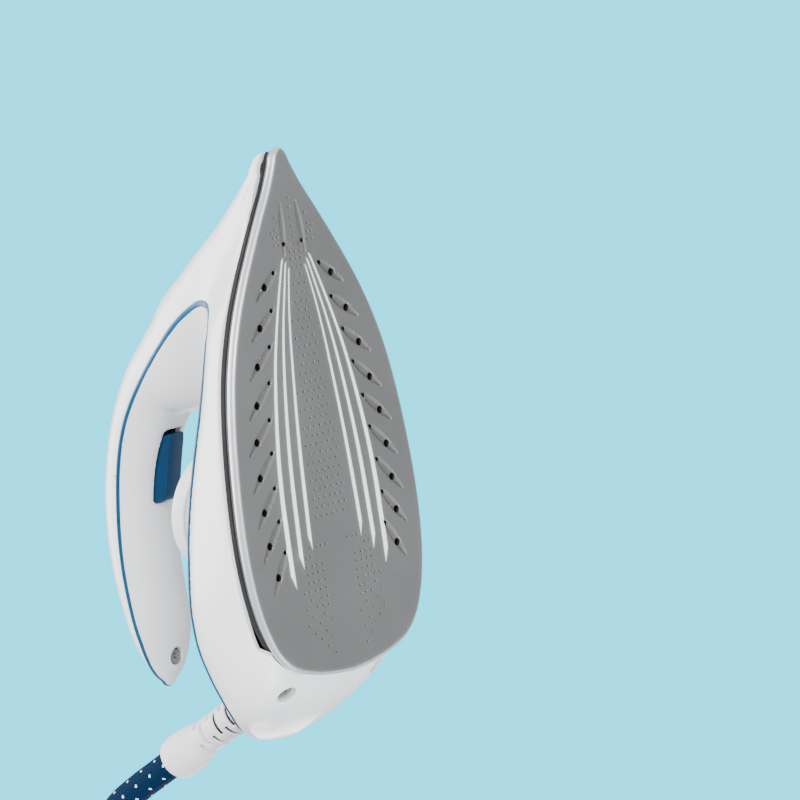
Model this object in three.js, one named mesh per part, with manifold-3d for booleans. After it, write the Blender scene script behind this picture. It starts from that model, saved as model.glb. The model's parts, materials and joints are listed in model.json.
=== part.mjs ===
// Steam-station iron handpiece, millimetres, +Z up, sole face on z = 0, nose along +X.
// Origin: centre of the sole face.  "s" below is the distance from the rear edge of the sole.
import * as THREE from 'three';
import { mergeVertices } from 'three/addons/utils/BufferGeometryUtils.js';
import Module from 'manifold-3d';

const wasm = await Module();
wasm.setup();

// ---------------------------------------------------------------- driving dimensions
const SOLE_LENGTH = 228;          // rear edge to nose tip
const XO = SOLE_LENGTH / 2;       // s -> x shift
const PLATE_T = 5;                // soleplate thickness
const GASKET_Z0 = 5.3, GASKET_Z1 = 9.3;
const SKIRT_Z = 9.6;              // lower edge of the white shell along the sides
const HEEL_Z = 5.6;               // lower edge of the shell round the heel
const WALL = 3;                   // moulding wall
const BLEND = 20;                 // pillar-to-body fillet
const GAP = 0.35;                 // clearance between pieces
const TRIM_W = 2.1;               // blue trim width
const TRIM_SLOT = 2.7;            // slot between outer shell and inner liner
const TRIM_DEPTH = 2.6;
const STEAM_R = 1.7, STEAM_R2 = 1.0;          // steam holes
const CAST_INSET = 10, CAST_Z0 = 5.3, CAST_Z1 = 17;
const DIAL = { s: 71.5, z: 63.7, r: 27, h: 7.6, tilt: 0.19 };   // temperature dial: centre of its underside
const SPINDLE_R = 3;
const TRIG = { half: 5, s0: 74, s1: 106.2, pivotS: 77.5, pivotZ: 103.5, pinR: 1.5 };
const HOSE_R = 6.5;               // sleeve over the steam tube and the flex
const RELIEF = { s: -17.6, z: 67, ds: -0.455, dz: 0.8905, len: 53 };
const COIL = { s: -150, y: -8.6, r: 67, z0: 1.4, pitch: 13.4 };
const HANDLE_SCREW = { s: 6, z: 104.7 };

// ---------------------------------------------------------------- tables (s along the sole)
const SOLE = [[228,0],[226.2,2.6],[220,5.6],[212,9.9],[199,18.3],[185.6,26.7],[174,33.6],[161,40.4],[149,45.4],[135.6,49.8],[122,52.8],[108,55.0],[93,56.6],[78,57.6],[64,57.8],[50,57.0],[38,55.2],[25.5,51.6],[15.5,46.4],[8.2,38.6],[3.8,27],[1.2,13.5],[0,0]];
// ridge of nose and handle: s, z, half height, half width
const RIDGE = [[219.8,11,4.8,4.6],[212,21.4,9.5,8.2],[203,32.9,14.8,12.2],[196,41.8,19,15.4],[187,53,23.5,18.6],[178,63.9,27,20.6],[169,74.3,28.5,21.6],[159.5,84,26.6,21.4],[150,92.6,22.2,20.4],[140.5,100.1,17.8,19.4],[130.5,106.8,15.8,18.6],[120.6,112.4,14.9,18.1],[110.4,117,14.3,17.8],[100.6,120.6,14,17.6],[90.3,123.6,13.9,17.5],[79,126,13.8,17.5],[67.8,127.3,13.7,17.5],[56.4,127.7,13.6,17.5],[45,127,13.1,17.5],[33.6,125.3,12.3,17.4],[22.2,122.5,11,17.2],[14,120.4,9.6,16.4],[6,117.9,7.5,13.6],[-0.5,115.6,5.2,9.9],[-3.7,114.5,3.8,7.1],[-6.2,113.4,2.3,3.5]];

function hermite(xs, ys) {
  const n = xs.length, d = [], m = new Array(n).fill(0);
  for (let i = 0; i < n - 1; i++) d.push((ys[i + 1] - ys[i]) / (xs[i + 1] - xs[i]));
  for (let i = 1; i < n - 1; i++) m[i] = (d[i - 1] * (xs[i + 1] - xs[i]) + d[i] * (xs[i] - xs[i - 1])) / (xs[i + 1] - xs[i - 1]);
  m[0] = d[0]; m[n - 1] = d[n - 2];
  return (x) => {
    x = Math.min(Math.max(x, xs[0]), xs[n - 1]);
    let i = 0; while (i < n - 2 && x > xs[i + 1]) i++;
    const h = xs[i + 1] - xs[i], t = (x - xs[i]) / h, t2 = t * t, t3 = t2 * t;
    return (2 * t3 - 3 * t2 + 1) * ys[i] + (t3 - 2 * t2 + t) * h * m[i] + (-2 * t3 + 3 * t2) * ys[i + 1] + (t3 - t2) * h * m[i + 1];
  };
}
const tab = (rows) => hermite(rows.map((r) => r[0]), rows.map((r) => r[1]));
const XREAR = tab([[0,1.5],[5,0.3],[8,-3.2],[12,-8.5],[18,-15],[25,-20.8],[35,-27],[45,-30.6],[55,-32.2],[62,-31.6],[70,-28.5],[80,-25],[140,-24]]);
const XTIP = tab([[0,227.5],[6,223.5],[12,217.5],[20,208],[30,197],[50,176],[140,90]]);
const ZL = tab([[-34,66],[-28,62],[-20,57.5],[-10,55],[3,53.6],[17,52],[30,50.4],[45,48],[62,44.8],[79.5,40.8],[97,36.4],[110,33],[122,30],[138,27.5],[151,27],[160,28],[170,27.5],[180,25],[192,20.5],[205,15.5],[216,10.5],[230,5]]);
const ZC = tab([[-34,69],[-20,69],[0,66.5],[20,64],[45,60.5],[72,56],[97,49.5],[110,45],[122,40],[138,34],[152,31.5],[165,31.5],[180,29],[192,25],[205,20],[216,15],[230,9]]);
const TAP = tab([[-34,0.55],[-22,0.475],[-10,0.38],[3.4,0.285],[18,0.205],[31,0.18],[60,0.18],[228,0.18]]);
const TEX = tab([[-34,2.0],[-10,1.9],[10,1.6],[31,1.3],[60,1.25],[228,1.25]]);

// half outline of the sole, nose to heel
function halfOutline(n) {
  const t = [0];
  for (let i = 1; i < SOLE.length; i++) t.push(t[i - 1] + Math.hypot(SOLE[i][0] - SOLE[i - 1][0], SOLE[i][1] - SOLE[i - 1][1]));
  const fx = hermite(t, SOLE.map((p) => p[0])), fy = hermite(t, SOLE.map((p) => p[1]));
  const out = [];
  for (let i = 0; i < n; i++) { const u = t[t.length - 1] * i / (n - 1); out.push([fx(u), Math.max(fy(u), 0)]); }
  return out;
}
const HALF = halfOutline(72);
function soleHalfWidth(s) {
  if (s <= 0 || s >= SOLE_LENGTH) return -1;
  for (let i = HALF.length - 1; i > 0; i--) if (s >= HALF[i][0] && s <= HALF[i - 1][0])
    return HALF[i][1] + (HALF[i - 1][1] - HALF[i][1]) * (s - HALF[i][0]) / (HALF[i - 1][0] - HALF[i][0] + 1e-9);
  return 0;
}
function outlineDistance(px, py) {
  py = Math.abs(py); let best = 1e18;
  for (let i = 0; i < HALF.length - 1; i++) {
    const ax = HALF[i][0], ay = HALF[i][1], ex = HALF[i + 1][0] - ax, ey = HALF[i + 1][1] - ay, L = ex * ex + ey * ey;
    if (L < 1e-12) continue;
    const t = Math.min(Math.max(((px - ax) * ex + (py - ay) * ey) / L, 0), 1);
    const dx = px - ax - ex * t, dy = py - ay - ey * t; best = Math.min(best, dx * dx + dy * dy);
  }
  return (py < soleHalfWidth(px) ? -1 : 1) * Math.sqrt(best);
}
const smin = (a, b, k) => { const h = Math.max(k - Math.abs(a - b), 0) / k; return Math.min(a, b) - h * h * k * 0.25; };
const smax = (a, b, k) => -smin(-a, -b, k);
// skirt and deck
function bodyField(s, y, z) {
  const xr = XREAR(z), xt = XTIP(z);
  const s2 = s < 60 ? 60 - (60 - s) * 60 / (60 - xr) : s > 150 ? 150 + (s - 150) * 78 / (xt - 150) : s;
  const zl = ZL(s), t = Math.min(Math.max((z - 9.6) / (zl - 9.6), -0.3), 1.6);
  const k = 1 - TAP(s) * Math.sign(t) * Math.pow(Math.abs(t), TEX(s));
  const side = outlineDistance(s2, y / k) * 0.93;
  const wl = Math.max(Math.max(soleHalfWidth(Math.min(Math.max(s2, 0.01), 227.9)), 0) * (1 - TAP(s)), 6);
  const r = Math.min(Math.abs(y) / wl, 1.3);
  const zd = zl + (ZC(s) - zl) * (1 - r * r);
  return smax(side, (z - zd) * 0.93, 7);
}
// nose ridge and handle: an ellipse swept along a centre line held below the ridge
const CENTER = RIDGE.map((r, i) => {
  const a = RIDGE[Math.max(i - 1, 0)], b = RIDGE[Math.min(i + 1, RIDGE.length - 1)];
  let tx = b[0] - a[0], tz = b[1] - a[1]; const L = Math.hypot(tx, tz); tx /= L; tz /= L;
  let nx = -tz, nz = tx; if (nx * 0.5 + nz * 0.9 < 0) { nx = -nx; nz = -nz; }
  return [r[0] - nx * r[2], r[1] - nz * r[2], r[2], r[3]];
});
function handleField(s, y, z) {
  let best = 1e18, h = 1, b = 1;
  for (let i = 0; i < CENTER.length - 1; i++) {
    const A = CENTER[i], B = CENTER[i + 1], ex = B[0] - A[0], ez = B[1] - A[1], L = ex * ex + ez * ez;
    const t = Math.min(Math.max(((s - A[0]) * ex + (z - A[1]) * ez) / L, 0), 1);
    const d = (s - A[0] - ex * t) ** 2 + (z - A[1] - ez * t) ** 2;
    if (d < best) { best = d; h = A[2] + (B[2] - A[2]) * t; b = A[3] + (B[3] - A[3]) * t; }
  }
  const d = Math.sqrt(best), k0 = Math.hypot(d / h, y / b) + 1e-9, k1 = Math.hypot(d / h / h, y / b / b) + 1e-9;
  return k0 * (k0 - 1) / k1;
}
const field = (s, y, z) => smin(bodyField(s, y, z), handleField(s, y, z), BLEND);

// ---------------------------------------------------------------- solids
function solidFrom(geo) {
  let g = geo.clone();
  for (const k of Object.keys(g.attributes)) if (k !== 'position') g.deleteAttribute(k);
  g = mergeVertices(g, 1e-4);
  const idx = g.index.array, tri = [];
  for (let i = 0; i < idx.length; i += 3) if (idx[i] !== idx[i + 1] && idx[i + 1] !== idx[i + 2] && idx[i] !== idx[i + 2]) tri.push(idx[i], idx[i + 1], idx[i + 2]);
  let m = new wasm.Manifold(new wasm.Mesh({ numProp: 3, vertProperties: new Float32Array(g.attributes.position.array), triVerts: new Uint32Array(tri) }));
  return m;
}
const geometryOf = (m) => {
  const r = m.getMesh(), g = new THREE.BufferGeometry();
  const v = new Float32Array((r.vertProperties.length / r.numProp) * 3);
  for (let i = 0; i < v.length / 3; i++) for (let k = 0; k < 3; k++) v[i * 3 + k] = r.vertProperties[i * r.numProp + k];
  g.setAttribute('position', new THREE.BufferAttribute(v, 3));
  g.setIndex(new THREE.BufferAttribute(new Uint32Array(r.triVerts), 1));
  g.computeVertexNormals();
  return g;
};
// closed isosurface of the field at a given level, cell by cell
function isoSurface(level, nx, ny, nz, box) {
  const [x0, x1, y0, y1, z0, z1] = box, hx = (x1 - x0) / nx, hy = (y1 - y0) / ny, hz = (z1 - z0) / nz;
  const N = (i, j, k) => (i * (ny + 1) + j) * (nz + 1) + k, F = new Float64Array((nx + 1) * (ny + 1) * (nz + 1));
  for (let i = 0; i <= nx; i++) for (let j = 0; j <= ny; j++) for (let k = 0; k <= nz; k++) {
    const edge = i === 0 || j === 0 || k === 0 || i === nx || j === ny || k === nz;
    F[N(i, j, k)] = edge ? Math.max(0.5, field(x0 + i * hx, y0 + j * hy, z0 + k * hz) - level) : field(x0 + i * hx, y0 + j * hy, z0 + k * hz) - level;
  }
  const id = new Map(), pos = [];
  const cell = (i, j, k) => (i * ny + j) * nz + k;
  for (let i = 0; i < nx; i++) for (let j = 0; j < ny; j++) for (let k = 0; k < nz; k++) {
    let p = [0, 0, 0], c = 0;
    for (let a = 0; a < 8; a++) for (let ax = 0; ax < 3; ax++) {
      const o = [a & 1, (a >> 1) & 1, (a >> 2) & 1]; if (o[ax]) continue;
      const q = [...o]; q[ax] = 1;
      const fa = F[N(i + o[0], j + o[1], k + o[2])], fb = F[N(i + q[0], j + q[1], k + q[2])];
      if ((fa < 0) === (fb < 0)) continue;
      const t = fa / (fa - fb); p[0] += o[0]; p[1] += o[1]; p[2] += o[2]; p[ax] += t; c++;
    }
    if (!c) continue;
    let P = [x0 + (i + p[0] / c) * hx, y0 + (j + p[1] / c) * hy, z0 + (k + p[2] / c) * hz];
    if (k > 0) for (let it = 0; it < 2; it++) {
      const e = 0.1, v = field(...P) - level;
      const g = [0, 1, 2].map((ax) => { const A = [...P], B = [...P]; A[ax] += e; B[ax] -= e; return (field(...A) - field(...B)) / (2 * e); });
      const gg = Math.max(g[0] ** 2 + g[1] ** 2 + g[2] ** 2, 0.05); let st = g.map((q) => -v * q / gg);
      const L = Math.hypot(...st), f = Math.min(1, 1.6 / Math.max(L, 1e-9)); P = P.map((q, a) => q + st[a] * f);
    }
    id.set(cell(i, j, k), pos.length / 3); pos.push(...P);
  }
  const tri = [];
  const quad = (a, b, c, d, flip) => {
    const w = [a, b, c, d].map((q) => id.get(q)); if (w.some((q) => q === undefined)) return;
    if (flip) w.reverse();
    const D = (u, v) => (pos[3 * u] - pos[3 * v]) ** 2 + (pos[3 * u + 1] - pos[3 * v + 1]) ** 2 + (pos[3 * u + 2] - pos[3 * v + 2]) ** 2;
    if (D(w[0], w[2]) < D(w[1], w[3])) tri.push(w[0], w[1], w[2], w[0], w[2], w[3]); else tri.push(w[1], w[2], w[3], w[1], w[3], w[0]);
  };
  for (let i = 0; i < nx; i++) for (let j = 0; j < ny; j++) for (let k = 0; k < nz; k++) {
    const f = F[N(i, j, k)] < 0;
    if (j && k && f !== (F[N(i + 1, j, k)] < 0)) quad(cell(i, j, k), cell(i, j - 1, k), cell(i, j - 1, k - 1), cell(i, j, k - 1), !f);
    if (i && k && f !== (F[N(i, j + 1, k)] < 0)) quad(cell(i, j, k), cell(i, j, k - 1), cell(i - 1, j, k - 1), cell(i - 1, j, k), !f);
    if (i && j && f !== (F[N(i, j, k + 1)] < 0)) quad(cell(i, j, k), cell(i - 1, j, k), cell(i - 1, j - 1, k), cell(i, j - 1, k), !f);
  }
  for (let i = 0; i < pos.length; i += 3) pos[i] -= XO;
  const g = new THREE.BufferGeometry();
  g.setAttribute('position', new THREE.BufferAttribute(new Float32Array(pos), 3)); g.setIndex(tri);
  return g;
}
const V2 = (a, b) => new THREE.Vector2(a, b);
const extrude = (pts, z0, z1, holes = []) => {
  const sh = new THREE.Shape(pts.map((p) => V2(p[0], p[1])));
  for (const h of holes) sh.holes.push(new THREE.Path(h.map((p) => V2(p[0], p[1]))));
  const g = new THREE.ExtrudeGeometry(sh, { depth: z1 - z0, bevelEnabled: false, steps: 1 }); g.translate(0, 0, z0); return g;
};
// prism of an XZ outline (given in s, z) along Y
const sidePrism = (pts, y0, y1) => { const g = extrude(pts.map((p) => [p[0] - XO, p[1]]), -y1, -y0); g.rotateX(Math.PI / 2); return g; };
const circle = (cx, cy, r, n, a0 = 0) => Array.from({ length: n }, (_, i) => [cx + r * Math.cos(a0 + 2 * Math.PI * i / n), cy + r * Math.sin(a0 + 2 * Math.PI * i / n)]);
// closed outline of the sole moved inwards by d
function outline(d, n = 46) {
  const h = halfOutline(n), P = [...h, ...h.slice(1, -1).reverse().map((p) => [p[0], -p[1]])];
  if (d === 0) return P.map((p) => [p[0] - XO, p[1]]);
  const out = [];
  for (let i = 0; i < P.length; i++) {
    const a = P[(i - 1 + P.length) % P.length], b = P[(i + 1) % P.length]; let tx = b[0] - a[0], ty = b[1] - a[1]; const L = Math.hypot(tx, ty);
    const q = [P[i][0] - ty / L * d * -1 * -1, P[i][1] + tx / L * d * -1 * -1];
    // keep the side that lies inside
    const q2 = [P[i][0] + ty / L * d, P[i][1] - tx / L * d];
    const use = outlineDistance(q[0], q[1]) < outlineDistance(q2[0], q2[1]) ? q : q2;
    if (outlineDistance(use[0], use[1]) < -d + 0.12) out.push(use);
  }
  return out.map((p) => [p[0] - XO, p[1]]);
}
const prism = (pts, z0, z1, holes) => solidFrom(extrude(pts, z0, z1, holes));
// turned solid: profile [[r, z]...] closed on the axis, along +Z
function turned(profile, seg = 24) {
  return new THREE.LatheGeometry(profile.map((p) => V2(p[0], p[1])), seg).rotateX(Math.PI / 2);
}
const AX = new THREE.Vector3(0, 0, 1);
function aim(geo, at, dir) {
  const q = new THREE.Quaternion().setFromUnitVectors(AX, new THREE.Vector3(...dir).normalize());
  return geo.applyMatrix4(new THREE.Matrix4().compose(new THREE.Vector3(at[0] - XO, at[1], at[2]), q, new THREE.Vector3(1, 1, 1)));
}
const rod = (r, z0, z1, seg = 16) => turned([[0, z0], [r, z0], [r, z1], [0, z1]], seg);
function sweep(pts, r, sides, steps, closed = false) {
  const c = new THREE.CatmullRomCurve3(pts.map((p) => new THREE.Vector3(p[0] - XO, p[1], p[2])), closed, 'centripetal');
  const sh = new THREE.Shape(circle(0, 0, r, sides).map((p) => V2(p[0], p[1])));
  return new THREE.ExtrudeGeometry(sh, { steps, bevelEnabled: false, extrudePath: c, curveSegments: 1 });
}

const group = new THREE.Group();
group.name = 'steam_station_iron';
function add(name, solid, color, roughness = 0.5, metalness = 0) {
  const geo = solid.isBufferGeometry ? geometryOf(solidFrom(solid)) : geometryOf(solid);
  const m = new THREE.Mesh(geo, new THREE.MeshStandardMaterial({ color, roughness, metalness }));
  m.name = name; group.add(m); return m;
}

// ---------------------------------------------------------------- outer volume, split by the blue loop
const BOX = [-45, 241, -66, 66, -8, 136];
const outer = solidFrom(isoSurface(0, 29, 17, 18, BOX));
const inner = solidFrom(isoSurface(-WALL - 0.7, 21, 11, 14, BOX));
// side-view loop (s, z): along the handle, round the front tip, back along the deck edge
const LOOP = [[-22,112.9],[-3,111.4],[5,110.8],[14.5,110],[26,111.2],[39.6,112.4],[53,112.6],[66.7,111.6],[80,109.6],[91.3,107.1],[102.4,103.5],[113.5,98.2],[123,91.6],[132,83.6],[140.9,74.9],[148.1,67.1],[154.3,59.9],[159.2,53.4],[162.8,46.9],[164.9,41.4],[164.6,36],[162.5,31.6],[158,28.6],[151,26.6],[138.7,25.6],[122,27.6],[109,31.2],[96,35.4],[79,40.4],[61.5,44.8],[45,48],[30,50.6],[17,52.4],[3,54],[-10,56],[-20,58.6],[-28,63.4],[-34,68.6],[-50,80]];
const loopCurve = new THREE.CatmullRomCurve3(LOOP.map((p) => new THREE.Vector3(p[0], p[1], 0)), false, 'centripetal');
const LOOP_N = 54;
const loopPts = Array.from({ length: LOOP_N }, (_, i) => { const v = loopCurve.getPointAt(i / (LOOP_N - 1)); return [v.x, v.y]; });
function loopOffset(d) {           // d > 0 grows the enclosed region
  const o = loopPts.map((p, i) => {
    const a = loopPts[Math.max(i - 1, 0)], b = loopPts[Math.min(i + 1, loopPts.length - 1)];
    const tx = b[0] - a[0], tz = b[1] - a[1], L = Math.hypot(tx, tz); return [p[0] - tz / L * d, p[1] + tx / L * d];
  });
  return [...o, [-90, o[o.length - 1][1]], [-90, o[0][1]]];
}
const region = (d) => solidFrom(sidePrism(loopOffset(d), -90, 90));
const skirtCut = solidFrom(sidePrism([[-70,-20],[260,-20],[260,8.6],[228,8.6],[185,SKIRT_Z],[17.5,SKIRT_Z],[14.5,HEEL_Z],[-70,HEEL_Z]], -90, 90));
const big = region(TRIM_SLOT / 2), small = region(-TRIM_SLOT / 2);

// outer shell: nose, handle top and skirt
let shell = outer.subtract(inner).subtract(big).subtract(skirtCut);
// inner liner: underside of the handle, throat and deck
let liner = outer.subtract(inner).intersect(small);

const boss = (at, dir, r, depth) => solidFrom(aim(rod(r, -1.0, depth, 14), at, dir)).intersect(outer);
// heel screws sit in two round pockets in the underside of the heel
const HEEL = [-1, 1].map((k) => ({ at: [-5.6, 29.8 * k, 14.8], dir: [0.64, -0.2 * k, 0.74] }));
for (const h of HEEL) {
  shell = shell.add(boss(h.at, h.dir, 7.2, 11)).subtract(solidFrom(aim(rod(4.6, -12, 5.5, 16), h.at, h.dir))).subtract(solidFrom(aim(rod(1.9, 5, 14, 10), h.at, h.dir)));
}
shell = shell.subtract(skirtCut);
// handle screw pocket under the tail
const TAIL = { at: [HANDLE_SCREW.s, 0, HANDLE_SCREW.z], dir: [-0.1, 0, 1] };
liner = liner.add(boss(TAIL.at, TAIL.dir, 6.4, 9).intersect(small)).subtract(solidFrom(aim(rod(4.1, -6, 2.8, 16), TAIL.at, TAIL.dir))).subtract(solidFrom(aim(rod(1.7, 2, 14, 10), TAIL.at, TAIL.dir)));
// dial plinth on the deck
const DN = [Math.sin(DIAL.tilt), 0, Math.cos(DIAL.tilt)], dialAt = [DIAL.s, 0, DIAL.z];
liner = liner.add(solidFrom(aim(turned([[0, -10.5], [DIAL.r - 1, -10.5], [DIAL.r - 1, -0.4], [0, -0.4]], 32), dialAt, DN))).subtract(solidFrom(aim(rod(SPINDLE_R + 0.6, -30, 4, 16), dialAt, DN)));
// trigger slot and the two pin bosses
const slot = solidFrom(sidePrism([[75.3, 86], [TRIG.s1 + 2.2, 76], [TRIG.s1 + 2.2, 108], [TRIG.s0 - 1, 108], [TRIG.s0 - 1, 100.6], [75.3, 100.6]], -TRIG.half - 0.8, TRIG.half + 0.8));
for (const k of [-1, 1]) {
  const y0 = k > 0 ? 6.2 : -10.5;
  liner = liner.add(solidFrom(sidePrism([[72.5, 96], [82.5, 96], [82.5, 107.6], [72.5, 107.6]], y0, y0 + 4.3)).intersect(outer).intersect(small));
}
const pinAt = [TRIG.pivotS, 0, TRIG.pivotZ];
liner = liner.subtract(slot).subtract(solidFrom(aim(rod(TRIG.pinR + 0.4, -9.9, 9.9, 12), pinAt, [0, 1, 0])));
// strain relief socket in the rear of the deck
const RD = new THREE.Vector3(RELIEF.ds, 0, RELIEF.dz).normalize().toArray(), reliefAt = [RELIEF.s, 0, RELIEF.z];
const socket = solidFrom(aim(rod(8.8, -16, 30, 20), reliefAt, RD));
liner = liner.subtract(socket); shell = shell.subtract(socket);

// ---------------------------------------------------------------- blue trim in the slot between shell and liner
function surfaceAlong(o, d) {      // distance from o along d to the outer surface
  let a = 0, b = 90;
  for (let i = 1; i <= 60; i++) { const t = i * 1.5; if (field(o[0] + d[0] * t, o[1] + d[1] * t, o[2] + d[2] * t) > 0) { b = t; a = t - 1.5; break; } }
  for (let i = 0; i < 24; i++) { const m = (a + b) / 2; if (field(o[0] + d[0] * m, o[1] + d[1] * m, o[2] + d[2] * m) > 0) b = m; else a = m; }
  return b;
}
const trimRows = [];               // each row: outer-upper, outer-lower, inner-lower, inner-upper
const TAIL_S = 14.5;
for (let i = loopPts.length - 1; i >= 0; i--) {
  const p = loopPts[i]; if (p[0] < -26.5 || (p[1] > 100 && p[0] < TAIL_S)) continue;
  const a = loopPts[Math.max(i - 1, 0)], b = loopPts[Math.min(i + 1, loopPts.length - 1)], tx = b[0] - a[0], tz = b[1] - a[1], L = Math.hypot(tx, tz);
  const row = [];
  for (const k of [1, -1]) {
    const q = [p[0] - tz / L * k * TRIM_W / 2, 0, p[1] + tx / L * k * TRIM_W / 2], y = surfaceAlong(q, [0, 1, 0]);
    row.push([q[0], y, q[2]], [q[0], y - TRIM_DEPTH, q[2]]);
  }
  trimRows.push([row[0], row[2], row[3], row[1]]);
}
for (let i = 1; i <= 7; i++) {     // round the tail
  const th = Math.PI / 2 + (Math.PI / 2) * i / 7, d = [Math.cos(th), Math.sin(th), -0.08 * Math.cos(th)], row = [];
  for (const k of [1, -1]) {
    const q = [TAIL_S, 0, 110 + k * TRIM_W / 2], t = surfaceAlong(q, d);
    row.push([q[0] + d[0] * t, d[1] * t, q[2] + d[2] * t], [q[0] + d[0] * (t - TRIM_DEPTH), d[1] * (t - TRIM_DEPTH), q[2] + d[2] * (t - TRIM_DEPTH)]);
  }
  trimRows.push([row[0], row[2], row[3], row[1]]);
}
for (let i = trimRows.length - 2; i >= 0; i--) trimRows.push(trimRows[i].map((c) => [c[0], -c[1], c[2]]));
function loft(rows, flip) {
  const pos = [], tri = [], m = rows[0].length;
  for (const r of rows) for (const c of r) pos.push(c[0] - XO, c[1], c[2]);
  for (let i = 0; i < rows.length - 1; i++) for (let j = 0; j < m; j++) {
    const a = i * m + j, b = i * m + (j + 1) % m, c = a + m, d = b + m; tri.push(a, b, d, a, d, c);
  }
  for (let j = 1; j < m - 1; j++) { tri.push(0, j + 1, j); const o = (rows.length - 1) * m; tri.push(o, o + j, o + j + 1); }
  if (flip) for (let i = 0; i < tri.length; i += 3) { const t = tri[i]; tri[i] = tri[i + 1]; tri[i + 1] = t; }
  const g = new THREE.BufferGeometry(); g.setAttribute('position', new THREE.BufferAttribute(new Float32Array(pos), 3)); g.setIndex(tri); return g;
}
let trim = solidFrom(loft(trimRows, false));
if (trim.volume() < 0) trim = solidFrom(loft(trimRows, true));

trim = trim.subtract(solidFrom(aim(rod(9.2, -16, 30, 20), reliefAt, RD)));
const whole = (m) => m.decompose().reduce((a, b) => (a.volume() > b.volume() ? a : b));
add('outer_shell', whole(shell), 0xf1f1f0, 0.32);
add('inner_liner', whole(liner), 0xd9d9da, 0.42);
add('loop_trim', whole(trim), 0x1f6aa5, 0.3);

// ---------------------------------------------------------------- soleplate and what sits on it
const HOLES = [[169.9,22.0],[153.3,28.5],[137.4,33.6],[121.4,37.5],[106.1,40.9],[90.9,42.1],[76.1,42.6],[61.6,42.4],[47.5,39.8]];
const HOLES2 = [[175.1,15.2],[159.5,19.9],[144.6,24.4],[129.6,28.0],[114.2,31.2],[100.0,32.8],[85.2,34.2],[70.8,34.6],[57.2,33.6]];
const holes = [];
for (const k of [-1, 1]) {
  for (const h of HOLES) holes.push(circle(h[0] - XO, k * h[1], STEAM_R, 6));
  for (const h of HOLES2) holes.push(circle(h[0] - XO, k * h[1], STEAM_R2, 5));
  holes.push(circle(186.2 - XO, 5.9 * k, 1.4, 8));
}
const plateOutline = outline(0, 40).map((p) => { const u = Math.min(Math.max((p[0] + XO) / 26, 0), 1); return [p[0] - 1.7 * (1 - u * u * (3 - 2 * u)), p[1]]; });   // the rear edge runs a little past the skirt
add('soleplate', prism(plateOutline, 0, PLATE_T, holes), 0x85868a, 0.35, 0.6);
const heelKeep = solidFrom(extrude([[-40 - XO, -70], [19 - XO, -70], [19 - XO, 70], [-40 - XO, 70]], 4, 12)).subtract(prism(outline(4.6, 36), 3, 13));
const gasketTop = solidFrom(sidePrism([[183, GASKET_Z1], [230, 7.6], [240, 7.6], [240, 20], [183, 20]], -80, 80));
add('skirt_gasket', whole(prism(outline(1.7, 36), GASKET_Z0, GASKET_Z1).subtract(prism(outline(11.4, 30), 4, 11)).subtract(heelKeep).subtract(gasketTop)), 0x18191b, 0.7);
const SCREWS = [[50, 41.5], [50, -41.5], [136, 34], [136, -34]];
const drill = (pts, r, z0, z1, n = 10) => pts.reduce((m, p) => { const d = solidFrom(aim(rod(r, z0, z1, n), [p[0], p[1], 0], [0, 0, 1])); return m ? m.add(d) : d; }, null);
const noseStop = solidFrom(extrude([[196 - XO, -60], [140, -60], [140, 60], [196 - XO, 60]], 0, 40));
add('heater_casting', whole(prism(outline(12, 30), 5.3, 16).subtract(prism(outline(19.5, 26), 9, 20)).subtract(noseStop).subtract(drill(SCREWS, 1.9, 7.5, 20))), 0xa9abae, 0.55, 0.8);
const ELEMENT = [[26, -18, 26], [26, -18, 17], [31, -19.5, 12.8], [46, -23, 12.6], [80, -25, 12.6], [120, -22, 12.6], [150, -14, 12.6], [166, -6, 12.6], [169, 0, 12.6], [166, 6, 12.6], [150, 14, 12.6], [120, 22, 12.6], [80, 25, 12.6], [46, 23, 12.6], [31, 19.5, 12.8], [26, 18, 17], [26, 18, 26]];
add('heating_element', sweep(ELEMENT, 3, 6, 34), 0x6f7073, 0.45, 0.8);
add('steam_chamber_cover', whole(prism(outline(12.4, 30), 16.3, 17.5).subtract(noseStop).subtract(drill(SCREWS, 1.9, 15, 20)).subtract(drill([[26, -18], [26, 18]], 4, 10, 22, 12)).subtract(drill([[31, -19.5], [31, 19.5]], 4.4, 10, 22, 12)).subtract(drill([[43, 0]], 4.6, 10, 22, 12))), 0xb9bbbd, 0.4, 0.9);
SCREWS.forEach((p, i) => add('cover_screw_' + (i + 1), aim(turned([[0, 8.5], [1.5, 8.5], [1.5, 17.8], [3.2, 17.8], [3.2, 19.8], [0, 19.8]], 10), [p[0], p[1], 0], [0, 0, 1]), 0xc4c5c7, 0.35, 0.9));
const box = (s0, s1, y0, y1, z0, z1) => solidFrom(extrude([[s0 - XO, y0], [s1 - XO, y0], [s1 - XO, y1], [s0 - XO, y1]], z0, z1));
add('thermostat', box(57, 81, -11, 11, 17.8, 26).add(solidFrom(aim(rod(6, -40.5, -31, 16), dialAt, DN))), 0xe4dfd2, 0.6);
add('thermal_fuse', aim(rod(3, -10, 10, 12), [104, 16, 20.9], [1, 0, 0]), 0xd9d2c0, 0.5);
add('terminal_block', box(0, 16, -12, 12, 22, 33).subtract(drill([[8, -6], [8, 0], [8, 6]], 1.8, 25, 40, 8)), 0xe8e6e0, 0.6);
add('steam_inlet_tube', sweep([[43, 0, 12], [43, 0, 26], [39, 0, 37], [27, 0, 45], [10, 0, 47.5], [-4, 0, 50], [-11.6, 0, 55.2]], 3.8, 10, 18), 0xc96f3a, 0.4, 0.7);
add('cord_clamp', box(-15, -1, -11, 11, 33, 41), 0xd9d9da, 0.5);
HEEL.forEach((h, i) => add('heel_screw_' + (i + 1), aim(turned([[0, 2.4], [4, 2.4], [4, 5.1], [1.5, 5.1], [1.5, 12.5], [0, 12.5]], 12), h.at, h.dir), 0x9a9b9e, 0.35, 0.9));
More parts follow.
